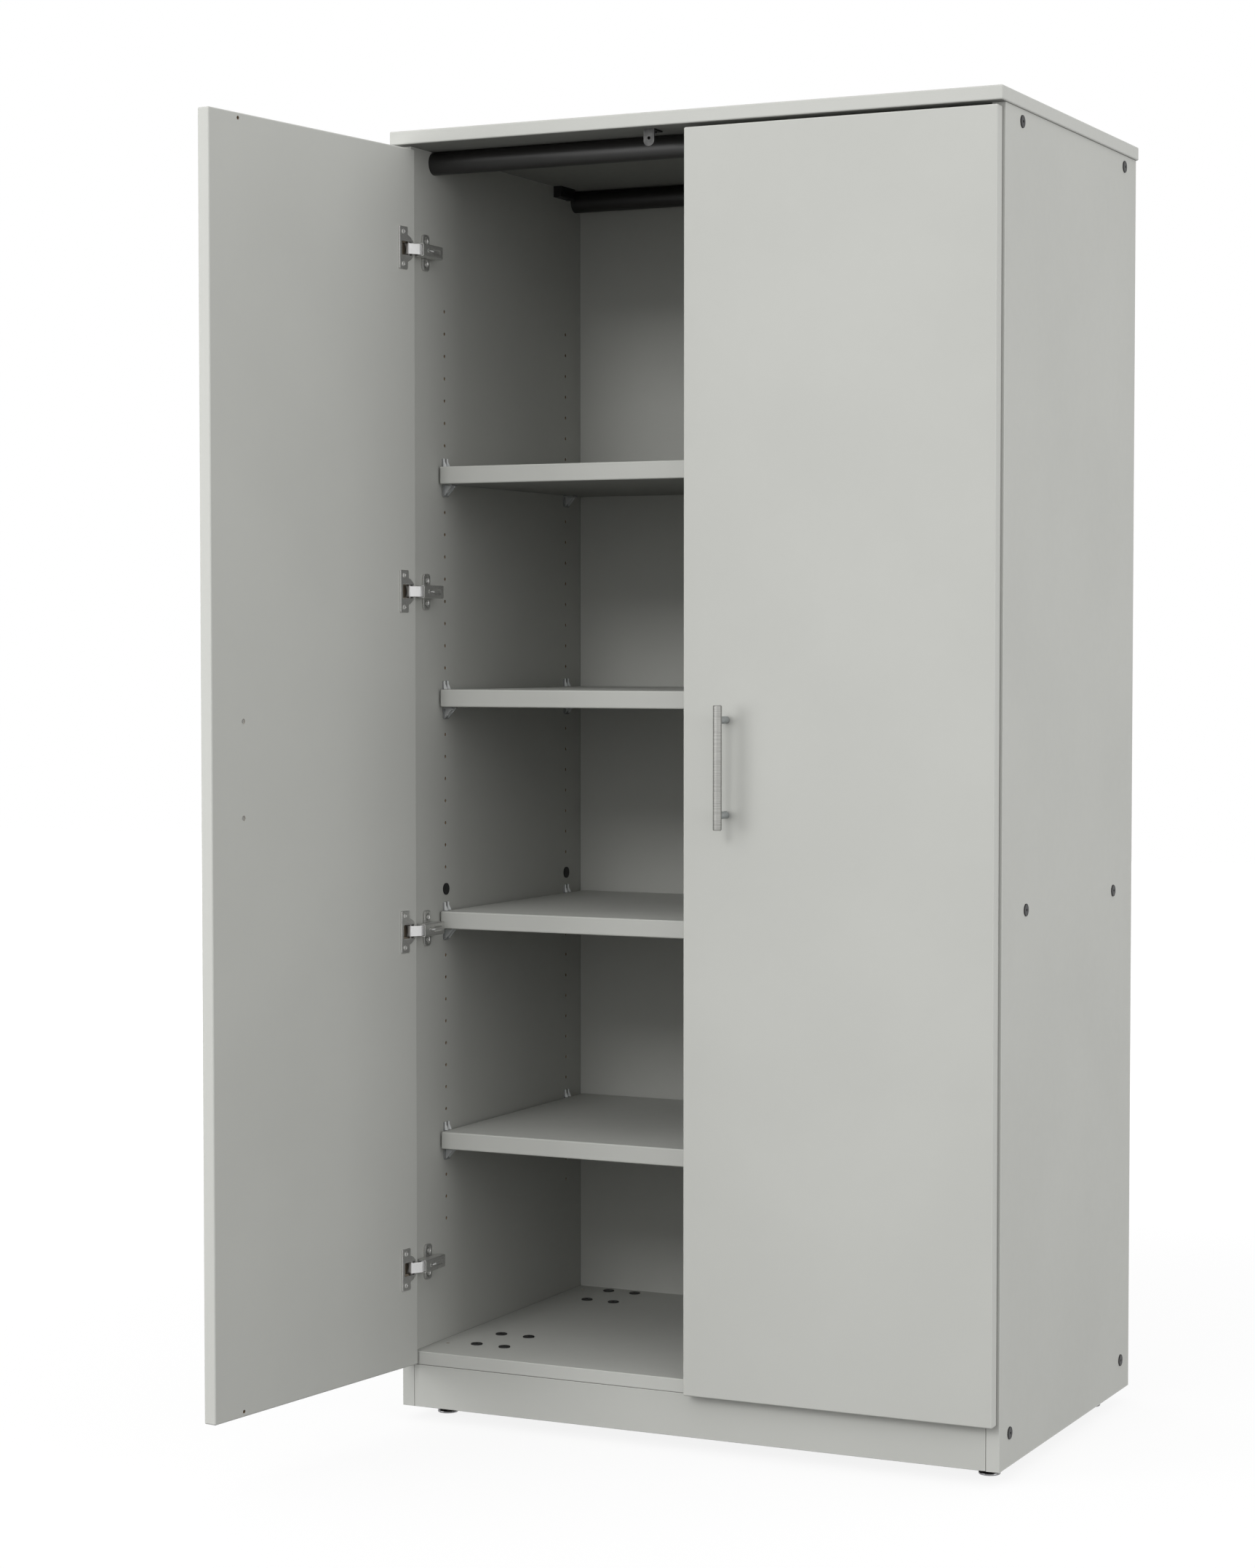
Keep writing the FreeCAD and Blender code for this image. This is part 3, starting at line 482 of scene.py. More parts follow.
# %% [markdown]
# ## Finding the solids
# A CAD node can hold several solids, such as the four cups of a door. Its mesh is loose
# triangles, so points at the same place are merged first, and then every triangle hands its
# lowest label to its corners until nothing changes. What is left is one label per solid, and the
# box of each label says where that fitting sits.

# %% Boxes of the solids in a node
def solid_boxes(node_name):
    """Low and high corners, in millimetres, of each separate solid in a node, sorted by place."""
    mesh = nodes[node_name].data
    place = np.empty(3 * len(mesh.vertices))
    mesh.vertices.foreach_get("co", place)
    place, same = np.unique(np.round(place.reshape(-1, 3) / mm, 3), axis=0, return_inverse=True)
    mesh.calc_loop_triangles()
    corners = np.empty(3 * len(mesh.loop_triangles), int)
    mesh.loop_triangles.foreach_get("vertices", corners)
    corners = same.reshape(-1)[corners].reshape(-1, 3)
    label = np.arange(len(place))
    while True:
        lowest = label.copy()
        np.minimum.at(lowest, corners.ravel(), np.repeat(label[corners].min(axis=1), 3))
        lowest = lowest[lowest]
        if np.array_equal(lowest, label):
            break
        label = lowest
    solids = [place[label == mark] for mark in np.unique(label)]
    boxes = [(solid.min(axis=0), solid.max(axis=0)) for solid in solids]
    return sorted(boxes, key=lambda box: tuple(np.round(box[0], 1)))


def node_box(node_name):
    """A node's low and high corners at rest, in millimetres."""
    return [np.array(corner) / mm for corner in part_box(node_name)]


cup_boxes = sorted(solid_boxes("right_hinge_cups"), key=lambda box: box[0][2])
hinge_heights = [(low[2] + high[2]) / 2 for low, high in cup_boxes]
print("hinge heights", np.round(hinge_heights, 2))

# %% [markdown]
# ## Four ways to make rings
# A turned part is a profile swept round an axis. A pressed plate is a flat outline with its rim
# rolled over by a quarter circle. A channel is an outline drawn along a length. A wire is a small
# circle carried along a curve. These four cover nearly all of the fittings, and a few helpers
# then lay a shape where it belongs.

# %% Turned shapes and outlines
def once_round(count):
    """Angles once round a circle, evenly spaced, without the last one that meets the first."""
    return np.linspace(0.0, 2.0 * np.pi, count, endpoint=False)


def round_rings(radius, height, angle):
    """Rings round an upright axis: the radius times the angle's cosine and sine, at a height."""
    return np.stack([radius * np.cos(angle), radius * np.sin(angle), height + 0.0 * angle], axis=-1)


def turned(profile, sides=48):
    """A turned shape: radius and height come from the profile, the angle runs once round."""
    radius, height = np.asarray(profile, float).T[:, :, None]
    return skin(round_rings(radius, height, once_round(sides)))


def unit(rows):
    """Directions of length one: every row over its own length."""
    return rows / np.linalg.norm(rows, axis=-1, keepdims=True)


def rounded_outline(corners, radius, steps=6):
    """A polygon with each corner replaced by an arc that touches both sides, swept between its
    two touch points."""
    corner = np.asarray(corners, float)
    before, after = [unit(np.roll(corner, way, axis=0) - corner) for way in (1, -1)]
    opening_angle = np.arccos(np.clip(np.sum(before * after, axis=1), -1.0, 1.0))[:, None]
    radius = np.broadcast_to(np.asarray(radius, float), len(corner))[:, None]
    centre = corner + unit(before + after) * radius / np.sin(opening_angle / 2)
    reach = radius / np.tan(opening_angle / 2)
    start, stop = [corner + way * reach - centre for way in (before, after)]
    sweep = (np.pi - opening_angle)[:, :, None]
    share = np.linspace(0.0, 1.0, steps)[None, :, None]
    arc = np.sin((1 - share) * sweep) * start[:, None] + np.sin(share * sweep) * stop[:, None]
    return (centre[:, None] + arc / np.sin(sweep)).reshape(-1, 2)


def rounded_box(low_u, high_u, low_v, high_v, radius, steps=6):
    """A rectangle with rounded corners, counted from its low corner anticlockwise."""
    corners = [(low_u, low_v), (high_u, low_v), (high_u, high_v), (low_u, high_v)]
    return rounded_outline(corners, radius, steps)


def resampled(outline, step):
    """The same closed line with points spaced evenly by about one step of length."""
    line = np.concatenate([outline, outline[:1]])
    length = np.concatenate([[0.0], np.cumsum(np.linalg.norm(np.diff(line, axis=0), axis=1))])
    even = np.linspace(0.0, length[-1], int(length[-1] / step), endpoint=False)
    return np.stack([np.interp(even, length, line[:, axis]) for axis in (0, 1)], axis=1)

# %% Slabs, channels and wires
def smooth_step(share):
    """Rises from 0 to 1 with level ends: three times the square less twice the cube."""
    return share * share * (3 - 2 * share)


def drawn_in(outline, inset):
    """Copies of a closed outline, each moved inwards along its own normals by one inset."""
    ahead = np.roll(outline, -1, axis=0)
    along = ahead - np.roll(outline, 1, axis=0)
    inwards = unit(np.stack([-along[:, 1], along[:, 0]], axis=1))
    area = np.sum(outline[:, 0] * ahead[:, 1] - outline[:, 1] * ahead[:, 0])
    return outline[None] + np.sign(area) * np.asarray(inset)[:, None, None] * inwards[None]


def raised(flat, height):
    """Rows of flat outlines, each given its height: one number a row, or one number a point."""
    height = np.broadcast_to(np.asarray(height).reshape(len(flat), -1), flat.shape[:2])
    return np.concatenate([flat, height[:, :, None]], axis=2)


def slab_rings(outline, low, high, rim, steps=4):
    """A flat outline raised from low to high, its rims drawn in along a quarter circle."""
    turn = np.linspace(0.0, np.pi / 2, steps)
    back = turn[::-1]
    inset = rim * np.concatenate([1 - np.sin(turn), 1 - np.sin(back)])
    height = np.concatenate([low + rim * (1 - np.cos(turn)), high - rim * (1 - np.cos(back))])
    return raised(drawn_in(outline, inset), height)


def soft_slab(outline, low, high, rim):
    """The closed skin of such a slab."""
    return skin(slab_rings(outline, low, high, rim))


def drawn(outline, stations, rim):
    """A closed outline carried along a straight length, drawn in by a quarter circle at both
    ends."""
    near_end = np.minimum(stations - stations[0], stations[-1] - stations)
    inset = rim - np.sqrt(np.maximum(rim ** 2 - np.maximum(rim - near_end, 0.0) ** 2, 0.0))
    return raised(drawn_in(outline, inset), stations)


aslant = [0.31, 0.52, 0.79]


def wire(path, radius, sides=8):
    """A round wire: at each point of the path a circle stands square to the way it travels."""
    ahead = unit(np.gradient(path, axis=0))
    across = unit(np.cross(ahead, aslant))
    upright = np.cross(ahead, across)
    angle = once_round(sides)[None, :, None]
    circle = np.cos(angle) * across[:, None] + np.sin(angle) * upright[:, None]
    return skin(path[:, None] + radius * circle)

# %% Laying shapes in place
to_right, to_left = (1.0, 0.0, 0.0), (-1.0, 0.0, 0.0)
to_back, upwards, downwards = (0.0, 1.0, 0.0), (0.0, 0.0, 1.0), (0.0, 0.0, -1.0)


def placed(shape, origin, across, along, up):
    """A shape's own x, y and z laid along three directions from an origin."""
    points, faces = shape
    return points @ np.array([across, along, up], float) + np.asarray(origin, float), faces


def at_heights(shape):
    """One copy of a shape at each hinge."""
    points, faces = shape
    return [(points + [0.0, 0.0, z], faces) for z in hinge_heights]


def mirrored(shape):
    """The same shape on the other side of the middle: x changes sign."""
    points, faces = shape
    return points * [-1.0, 1.0, 1.0], faces


def turned_in_plan(shape, turn):
    """A plane rotation of every point, its shift brought from metres to millimetres."""
    points, faces = shape
    flat = points[:, :2] @ turn[:2, :2].T + turn[:2, 2] / mm
    return np.column_stack([flat, points[:, 2]]), faces


link_opening = np.linalg.inv(joint_turn("left_link_swing", 0))
left_turns = {"leaf": np.linalg.inv(closing), "links": link_opening, "carcass": np.eye(3)}


def both_sides(name, shapes, slot, node=None, body="leaf", finish=None):
    """A fitting on the right, and its mirror image turned with what it hangs on at the left."""
    left = [turned_in_plan(mirrored(shape), left_turns[body]) for shape in shapes]
    for side, parts in (("right", shapes), ("left", left)):
        rides_on = body if body == "carcass" else f"{side}_{body}"
        piece(f"{side}_{name}", parts, rides_on, slot, [f"{side}_{node}"] if node else (), finish)


print("left door opens by", round(-math.degrees(closing_angle), 2), "degrees")

# %% [markdown]
# ## Screw heads
# A cross-head screw has a low dome with a cross pressed into it. Cutting it with booleans leaves
# ragged meshes, so the head is a polar grid whose height is the dome less the press: deep where a
# point lies in one of the two bars of the cross, easing out at the bar's edges. The slotted
# adjusting screws use one bar only.

# %% Pressed heads and threads
head_rings, head_sides, head_core, press_ease = 13, 48, 0.04, 0.16
dome_rim, wall_profile = 0.62, [(0.97, 0.0), (1.0, 0.06), (1.0, 0.45)]


def eased(distance, edge):
    """1 well inside an edge and 0 outside it, with a smooth step of the press's easing between."""
    return smooth_step(np.clip((edge - distance) / (2 * press_ease) + 0.5, 0.0, 1.0))


def pressed_head(radius, height, bar_length, bar_width, depth, bars):
    """A domed head: wall, rolled rim, then rings inwards whose height drops inside the bars."""
    angle = once_round(head_sides)[None]
    share = np.linspace(1.0, head_core, head_rings)[:, None]
    dome = height * (dome_rim + (1 - dome_rim) * (1 - share ** 2))
    across, along = np.abs(radius * share * np.cos(angle)), np.abs(radius * share * np.sin(angle))
    press = eased(across, bar_length / 2) * eased(along, bar_width / 2)
    if bars == 2:
        press = np.maximum(press, eased(along, bar_length / 2) * eased(across, bar_width / 2))
    top = round_rings(radius * share, dome - depth * press, angle)
    walls = np.array(wall_profile)[:, :, None]
    return skin(np.concatenate([round_rings(radius * walls[:, 0], height * walls[:, 1], angle), top]))


def threaded(radius, low, high, pitch, depth, sides, rows_per_turn):
    """A screw thread: the radius drops as a ridge whose phase is height over pitch less the share
    of a turn."""
    rows = max(2, int(rows_per_turn * (high - low) / pitch))
    height = np.linspace(low, high, rows)[:, None]
    angle = once_round(sides)[None]
    phase = np.mod(height / pitch - angle / (2.0 * np.pi), 1.0)
    return skin(round_rings(radius - depth * np.abs(2 * phase - 1), height, angle))

# %% Cup and plate screws
screw_head_radius, screw_head_height, screw_shank_radius, screw_shank_length = 3.6, 1.6, 1.95, 11.5
cross_length, cross_width, cross_depth = 3.8, 0.9, 1.0
wood_pitch, wood_ridge, shank_overlap = 1.6, 0.5, 0.2
cup_spins, plate_spins = (17.0, 37.0), (11.0, 29.0)


def spin_of(number, spins):
    """Cosine and sine of a screw's own turn, so that no two crosses stand alike."""
    angle = math.radians(spins[0] + spins[1] * number)
    return math.cos(angle), math.sin(angle)


def inner_face_of(low, high):
    """For a fitting on a side: 1 on the right or -1 on the left, and the level of its inner face."""
    side = 1.0 if low[0] > 0 else -1.0
    return side, low[0] if side > 0 else high[0]


def wood_screw(crown, outwards, across):
    """A cross-head screw whose crown is at a point and faces outwards; the thread runs back into
    the board."""
    along = np.cross(outwards, across)
    seat = np.asarray(crown, float) - screw_head_height * np.asarray(outwards, float)
    cross = (cross_length, cross_width, cross_depth)
    head = pressed_head(screw_head_radius, screw_head_height, *cross, bars=2)
    span = (-screw_shank_length, shank_overlap)
    shank = threaded(screw_shank_radius, *span, wood_pitch, wood_ridge, sides=14, rows_per_turn=4)
    return [placed(shape, seat, across, along, outwards) for shape in (head, shank)]


cup_screws, plate_screws = [], []
for number, (low, high) in enumerate(solid_boxes("right_hinge_cup_screws")):
    x, _, z = (low + high) / 2
    c, s = spin_of(number, cup_spins)
    cup_screws += wood_screw((x, high[1], z), to_back, (c, 0.0, s))
both_sides("cup_screws", cup_screws, "zinc_screw", "hinge_cup_screws")

for number, (low, high) in enumerate(solid_boxes("hinge_plate_screws")):
    side, face = inner_face_of(low, high)
    _, y, z = (low + high) / 2
    plate_screws += wood_screw((face, y, z), (-side, 0.0, 0.0), (0.0, *spin_of(number, plate_spins)))
piece("plate_screws", plate_screws, "carcass", "zinc_screw", ["hinge_plate_screws"])

# %% Adjusting screws and painted highlight tongues
adjuster_radius, adjuster_head, adjuster_reach, slot_width, slot_depth = 3.0, 1.0, 8.5, 0.9, 0.8
adjuster_pitch, adjuster_ridge, adjuster_spins, spin_cycle = 1.0, 0.4, (-4.0, 6.0), 3
# Each adjusting screw gets a bright white tapered tongue on the arm's web: a painted highlight standing for the
# lit streak there.
highlight_tongue_corners = [(2.6, -0.5), (12.5, -1.25), (12.5, 1.25), (2.6, 0.5)]
highlight_tongue_rise, highlight_tongue_rim, highlight_tongue_rounding = 0.9, 0.25, [0.3, 0.6, 0.6, 0.3]

slit = (2 * adjuster_radius, slot_width, slot_depth)
head = pressed_head(adjuster_radius, adjuster_head, *slit, bars=1)
thread = (-adjuster_reach, 0.5 * shank_overlap, adjuster_pitch, adjuster_ridge)
shank = threaded(screw_shank_radius, *thread, sides=14, rows_per_turn=5)
highlight_tongue = soft_slab(rounded_outline(highlight_tongue_corners, highlight_tongue_rounding), 0.0, highlight_tongue_rise, highlight_tongue_rim)
adjusters, highlight_tongues = [], []
for number, (low, high) in enumerate(solid_boxes("hinge_adjusters")):
    side, face = inner_face_of(low, high)
    _, y, z = (low + high) / 2
    seat, facing = (face + side * adjuster_head, y, z), np.array([-side, 0.0, 0.0])
    across = np.array([0.0, *spin_of(number % spin_cycle, adjuster_spins)])
    along = np.cross(facing, across)
    adjusters += [placed(shape, seat, across, along, facing) for shape in (head, shank)]
    highlight_tongues.append(placed(highlight_tongue, seat, to_back, np.cross(facing, to_back), facing))
piece("adjusting_screws", adjusters, "carcass", "hinge_nickel", ["hinge_adjusters"])
# The tongues are bright white sheets: painted highlight.
piece("adjusting_tongues", highlight_tongues, "carcass", "link_bright")

# %% [markdown]
# ## Hinge cups
# A concealed hinge has a pressed cup let into the door, with a flange that spreads into two
# screwed wings and closes over the cup, but for a slot where the link comes out.
# All of it is one skin: rings that start under the cup, climb its outside, run out under the
# flange, turn over the flange's rim, come back in to the slot, roll over the slot's edge and go
# down the inside of the cup. Each ring keeps the same angles and changes only its radius and
# depth, so the outline of the wings, the oblong slot and the round cup can follow each other in
# one grid.

# %% Cup outlines
cup_radius, cup_inner, flange, flange_radius = 17.5, 15.5, 1.0, 18.5
wing_half_length, wing_half_width, wing_corner, wing_offset = 30.0, 10.1, 2.0, -7.5
slot_near, slot_far, slot_half, slot_corner = -10.8, 13.2, 9.7, 1.6
cup_columns, fine_columns, outline_steps = 160, 6000, 12
lip_rise, lip_start, lip_full = 1.4, -14.6, -16.2


def reach_of(outline, angle):
    """How far a ray from the centre runs to a closed outline round it: the meeting of the ray
    with one edge."""
    turn = np.arctan2(outline[:, 1], outline[:, 0])
    line = outline[np.argsort(turn)]
    upper = np.searchsorted(np.sort(turn), angle) % len(line)
    (x, y), (dx, dy) = line[upper - 1].T, (line[upper] - line[upper - 1]).T
    return (x * dy - y * dx) / (np.cos(angle) * dy - np.sin(angle) * dx)


def flange_outline(columns):
    """Angle and radius of the flange, spaced evenly along the rim: the wings, or the circle where
    it is farther on the hinge's side."""
    wing_sides = (wing_offset - wing_half_width, wing_offset + wing_half_width)
    wings = rounded_box(*wing_sides, -wing_half_length, wing_half_length, wing_corner, outline_steps)
    angle = np.linspace(-np.pi, np.pi, fine_columns)
    reach = reach_of(wings, angle)
    reach = np.where(np.cos(angle) > 0.0, np.maximum(reach, flange_radius), reach)
    step = np.hypot(np.diff(reach), reach[1:] * np.diff(angle))
    length = np.concatenate([[0.0], np.cumsum(step)])
    even = np.linspace(0.0, length[-1], columns, endpoint=False)
    return np.interp(even, length, angle), np.interp(even, length, reach)


def flange_face(radius, angle):
    """The flange's level: flat, then a smooth step up to the folded lip along its free edge."""
    share = (radius * np.cos(angle) - lip_start) / (lip_full - lip_start)
    return flange + lip_rise * smooth_step(np.clip(share, 0.0, 1.0))


print("flange reaches", np.round(flange_outline(cup_columns)[1].max(), 2), "mm from the cup's middle")

# %% Cup shells
sheet_rim, rim_start, rim_gap, slot_roll = 0.4, 0.15, 0.05, 0.2
cup_outside = [(6.0, -13.0), (16.3, -13.0), (17.2, -12.5), (17.5, -11.6), (17.5, 0.0)]
cup_inside = [(15.5, 0.0), (15.5, -10.4), (15.0, -11.4), (13.9, -11.9), (5.0, -12.0)]
cup_setback, face_shares = 21.0, np.linspace(0.92, 0.12, 11)


def cup_shell():
    """Rings of radius and depth, from under the cup round the flange's rim, over the slot and
    down to the floor."""
    angle, reach = flange_outline(cup_columns)
    slot_box = (slot_near, slot_far, -slot_half, slot_half)
    slot = reach_of(rounded_box(*slot_box, slot_corner, outline_steps), angle)
    level, eased_rim = flange_face(reach, angle), 0.3 * sheet_rim
    rows = cup_outside + [(np.maximum(reach - rim_start, cup_radius + rim_gap), 0.0)]
    rows += [(reach, rim_start), (reach, level - sheet_rim)]
    rows += [(reach - eased_rim, level - eased_rim), (reach - sheet_rim, level)]
    inwards = [slot + share * (reach - slot) for share in face_shares]
    rows += [(radius, flange_face(radius, angle)) for radius in inwards]
    rows += [(slot + sheet_rim, flange), (slot + eased_rim, flange - eased_rim)]
    rows += [(slot, flange - sheet_rim), (slot, slot_roll)]
    rows += [(np.minimum(slot + slot_roll, cup_inner), rim_gap)] + cup_inside
    return skin(np.stack([round_rings(radius, depth, angle) for radius, depth in rows]))


door_low, door_high = node_box("right_door")
hinge_edge, door_back = door_high[:2]
cup_x = hinge_edge - cup_setback


def in_cups(shape):
    """A shape's copies in the four cups: u towards the hinge edge, v up, depth out of the door."""
    return [placed(shape, (cup_x, door_back, z), to_right, upwards, to_back) for z in hinge_heights]


both_sides("cups", in_cups(cup_shell()), "hinge_nickel", "hinge_cups")

# %% [markdown]
# ## Inside the cups
# Looking into an open hinge you see a brown nylon buffer on the cup's floor and two coil springs
# on the pin, one on each side of the link. Dark paint inside the cup would pass from afar, but
# the springs catch light. A spring is a wire carried along a helix, and the buffer is a disc with
# two raised cheeks.

# %% Buffers and springs
least_square = 0.01


def chord_outline(radius, near, far, count=24):
    """The slice of a circle between two levels: an arc up one side, then an arc back down."""
    level = np.linspace(near, far, count)
    half = np.sqrt(np.maximum(radius ** 2 - level ** 2, least_square))
    return np.concatenate([np.stack([half, level], axis=1), np.stack([-half, level], axis=1)[::-1]])


pin_setback, pin_depth = 11.0, 3.7
spring_radius, spring_wire, spring_turns, turn_points, spring_ends = 2.35, 0.4, 6, 16, (8.1, 13.0)
buffer_radius, cheek_near, cheek_far = 14.6, 8.6, 14.0
cheek_low, cheek_top, cheek_rim = -11.8, -6.4, 0.12
disc_profile = [(3.0, -12.0), (13.4, -12.0), (13.8, -11.8), (13.4, -11.6), (3.0, -11.6)]
nylon_brown = dark_coat("nylon_brown_finish", (0.270, 0.228, 0.178), 0.42, 900.0, 0.12, 0.15)

cheek = soft_slab(chord_outline(buffer_radius, cheek_near, cheek_far), cheek_low, cheek_top, cheek_rim)
other_cheek = (cheek[0] * [1.0, -1.0, 1.0], cheek[1])
buffers = in_cups(turned(disc_profile)) + in_cups(cheek) + in_cups(other_cheek)
both_sides("cup_buffers", buffers, "plug_black", finish=nylon_brown)

helix = np.linspace(0.0, 2.0 * np.pi * spring_turns, turn_points * spring_turns)
coil_x = hinge_edge - pin_setback + spring_radius * np.cos(helix)
coil_y = door_back - pin_depth + spring_radius * np.sin(helix)
springs = []
for way in (-1.0, 1.0):
    rise = way * np.linspace(*spring_ends, len(helix))
    springs += at_heights(wire(np.stack([coil_x, coil_y, rise], axis=1), spring_wire))
both_sides("cup_springs", springs, "steel_plain")

# %% [markdown]
# ## Links
# The link is a bright strap that joins the cup's pin to the arm's pin, with an eye round each.
# It is bent twice, so that its flat face lies clear of the cup's rim when the door is open and on
# the cup's floor when it is shut. Seen from its end it is a bent line with a thickness: thin
# along the strap and swelling to a circle at each eye. So a section, a rectangle with eased
# edges, is carried along that line and only its thickness changes on the way.

# %% Link line
strap_half, eye_radius, bend_radius, arc_points, sharp = 1.0, 3.0, 1.6, 10, 0.01
face_offset, near_bend_run, far_bend_run = 5.3, 5.0, 4.2
arm_pin = np.array(joints["right_link_swing"]["pos_m"][:2]) / mm
cup_pin = np.array(joints["right_door_swing"]["pos_m"][:2]) / mm
towards_cup = unit(cup_pin - arm_pin)
face_shift = face_offset * np.array([towards_cup[1], -towards_cup[0]])
near_bend = arm_pin + face_shift + near_bend_run * towards_cup
far_bend = cup_pin + face_shift + far_bend_run * towards_cup


def beyond(pin, bend):
    """The far side of an eye: past its pin, on the line from the bend."""
    return pin + eye_radius * unit(pin - bend)


def link_line(steps=30):
    """The bent middle line: eye, bend, flat face, bend, eye, with points closer together at the
    ends of each leg."""
    start, stop = beyond(arm_pin, near_bend), beyond(cup_pin, far_bend)
    bends = [sharp, bend_radius, bend_radius, sharp]
    arcs = rounded_outline([start, near_bend, far_bend, stop], bends, arc_points)
    _, first_arc, second_arc, _ = np.split(arcs, 4)
    share = 0.5 * (1 - np.cos(np.pi * np.linspace(0.0, 1.0, steps)))[:, None]
    legs = [(start, first_arc[0]), (first_arc[-1], second_arc[0]), (second_arc[-1], stop)]
    first, face, last = [near + share * (far - near) for near, far in legs]
    return np.concatenate([first[:-1], first_arc, face[1:-1], second_arc, last[1:]])


print("pins", np.round(np.linalg.norm(cup_pin - arm_pin), 2), "mm apart,", len(link_line()), "points")

# %% Strap links
link_half_width, link_rim, tip_share = 7.4, 0.35, 0.6


def link_strap():
    """Rings along the line: half the thickness to each side, the strap's own or an eye's circle
    where that is more, by half the width up and down, with the four long edges cut off at a small
    slant."""
    line = link_line()
    ahead = unit(np.gradient(line, axis=0))
    left_hand = np.stack([-ahead[:, 1], ahead[:, 0]], axis=1)
    from_arm, from_cup = [np.linalg.norm(line - pin, axis=1) for pin in (arm_pin, cup_pin)]
    run = np.arange(len(line))
    between = (run > np.argmin(from_arm)) & (run < np.argmin(from_cup))
    nearest = np.minimum(from_arm, from_cup)
    eye = np.sqrt(np.maximum(eye_radius ** 2 - nearest ** 2, least_square))
    half = np.where(between, np.maximum(eye, strap_half), eye)[:, None]
    cut = np.minimum(link_rim, tip_share * half)
    side = np.concatenate([half - cut, half, half, half, half, half - cut], axis=1)
    upper = link_half_width - cut * [2.0, 1.0, 0.0]
    level = np.concatenate([-upper[:, ::-1], upper], axis=1)
    across = np.concatenate([side, -side], axis=1)
    flat = line[:, None] + across[:, :, None] * left_hand[:, None]
    return skin(raised(flat, np.concatenate([level, -level], axis=1)))


both_sides("links", at_heights(link_strap()), "link_bright", "hinge_links", "links")

# %% [markdown]
# ## Arms and plates
# The arm is a channel of bent sheet that clips over a saddle on the wing plate, and the plate is
# screwed to the side. A box with bevels would do from afar, but sheet that is bent has round
# outer corners, and sheet that is pressed has a rolled rim, so neither shows a sharp edge. The
# arm is its own U-shaped outline drawn along its length, with a stiffening rib pressed into the
# web.

# %% Arms
sheet, sheet_edge, outer_bend, inner_bend, arm_rim, end_run = 1.3, 0.3, 1.8, 0.5, 0.15, 1.5
channel_step, channel_steps, arm_stations, rim_steps, web_slack = 0.55, 7, 48, 4, 0.05
rib_from_nose, rib_from_tail, rib_half, rib_rise, rib_slope = 27.0, 7.0, 3.6, 0.7, 1.6
(web, nose, arm_bottom), (mouth, tail, arm_top) = solid_boxes("right_hinge_arms")[0]
arm_half, inner_web = (arm_top - arm_bottom) / 2, web + sheet
inner_half = arm_half - sheet
channel = [(mouth, arm_half), (web, arm_half), (web, -arm_half), (mouth, -arm_half)]
channel += [(mouth, -inner_half), (inner_web, -inner_half)]
channel += [(inner_web, inner_half), (mouth, inner_half)]
bends = [sheet_edge, outer_bend, outer_bend, sheet_edge]
bends += [sheet_edge, inner_bend, inner_bend, sheet_edge]
channel = resampled(rounded_outline(channel, bends, channel_steps), channel_step)

end_steps = arm_rim * (1 - np.cos(np.linspace(0.0, np.pi / 2, rim_steps)))
length = np.linspace(nose + end_run, tail - end_run, arm_stations)
rings = drawn(channel, np.concatenate([nose + end_steps, length, tail - end_steps[::-1]]), arm_rim)
x, width, along = np.moveaxis(rings, 2, 0)
rib_ends = np.minimum(along - nose - rib_from_nose, tail - rib_from_tail - along)
rib_share = np.clip(np.minimum(rib_half - np.abs(width), rib_ends) / rib_slope, 0.0, 1.0)
on_web = x < inner_web + web_slack
rings[:, :, 0] += np.where(on_web, rib_rise * smooth_step(rib_share), 0.0)
arm = placed(skin(rings), (0.0, 0.0, 0.0), to_right, upwards, to_back)
both_sides("arms", at_heights(arm), "hinge_nickel", "hinge_arms", "carcass")

# %% Wing plates
plate_half_width, plate_half_length, plate_thickness, plate_rim = 9.5, 25.5, 3.4, 0.3
plate_corner, plate_corner_steps, plate_step = 6.0, 9, 0.8
plate_shares = np.linspace(0.97, 0.03, 34)
dish_radius, dish_depth, dish_spacing, dish_slope = 6.6, 2.0, 32.0, 2.0
plate_setback, saddle_near, saddle_far, saddle_half = 37.0, -26.0, 18.0, 7.5
saddle_low, saddle_corner, saddle_rim = 0.1, 1.0, 0.6
inner_face, carcass_front = node_box("right_side_panel")[0][:2]


def dished_plate(outline):
    """The plate's rim, then its outline shrunk towards the middle, pressed down by a round dish
    at each screw."""
    rim = slab_rings(outline, 0.0, plate_thickness, plate_rim)
    flat = plate_shares[:, None, None] * rim[-1:, :, :2]
    from_screw = np.hypot(flat[:, :, 0], np.abs(flat[:, :, 1]) - dish_spacing / 2)
    dish = np.clip(dish_slope * (1 - from_screw / dish_radius), 0.0, 1.0)
    face = raised(flat, plate_thickness - dish_depth * smooth_step(dish))
    return skin(np.concatenate([rim, face]))


wing_box = (-plate_half_width, plate_half_width, -plate_half_length, plate_half_length)
wing_outline = rounded_box(*wing_box, plate_corner, plate_corner_steps)
wing_plate = dished_plate(resampled(wing_outline, plate_step))
saddle_box = (saddle_near, saddle_far, -saddle_half, saddle_half)
saddle_outline = rounded_box(*saddle_box, saddle_corner, steps=5)
saddle = soft_slab(saddle_outline, saddle_low, inner_face - inner_web, saddle_rim)
plates = []
for shape in (wing_plate, saddle):
    origin = (inner_face, carcass_front + plate_setback, 0.0)
    plates += at_heights(placed(shape, origin, to_back, upwards, to_left))
both_sides("plates", plates, "hinge_nickel", "hinge_plates", "carcass")

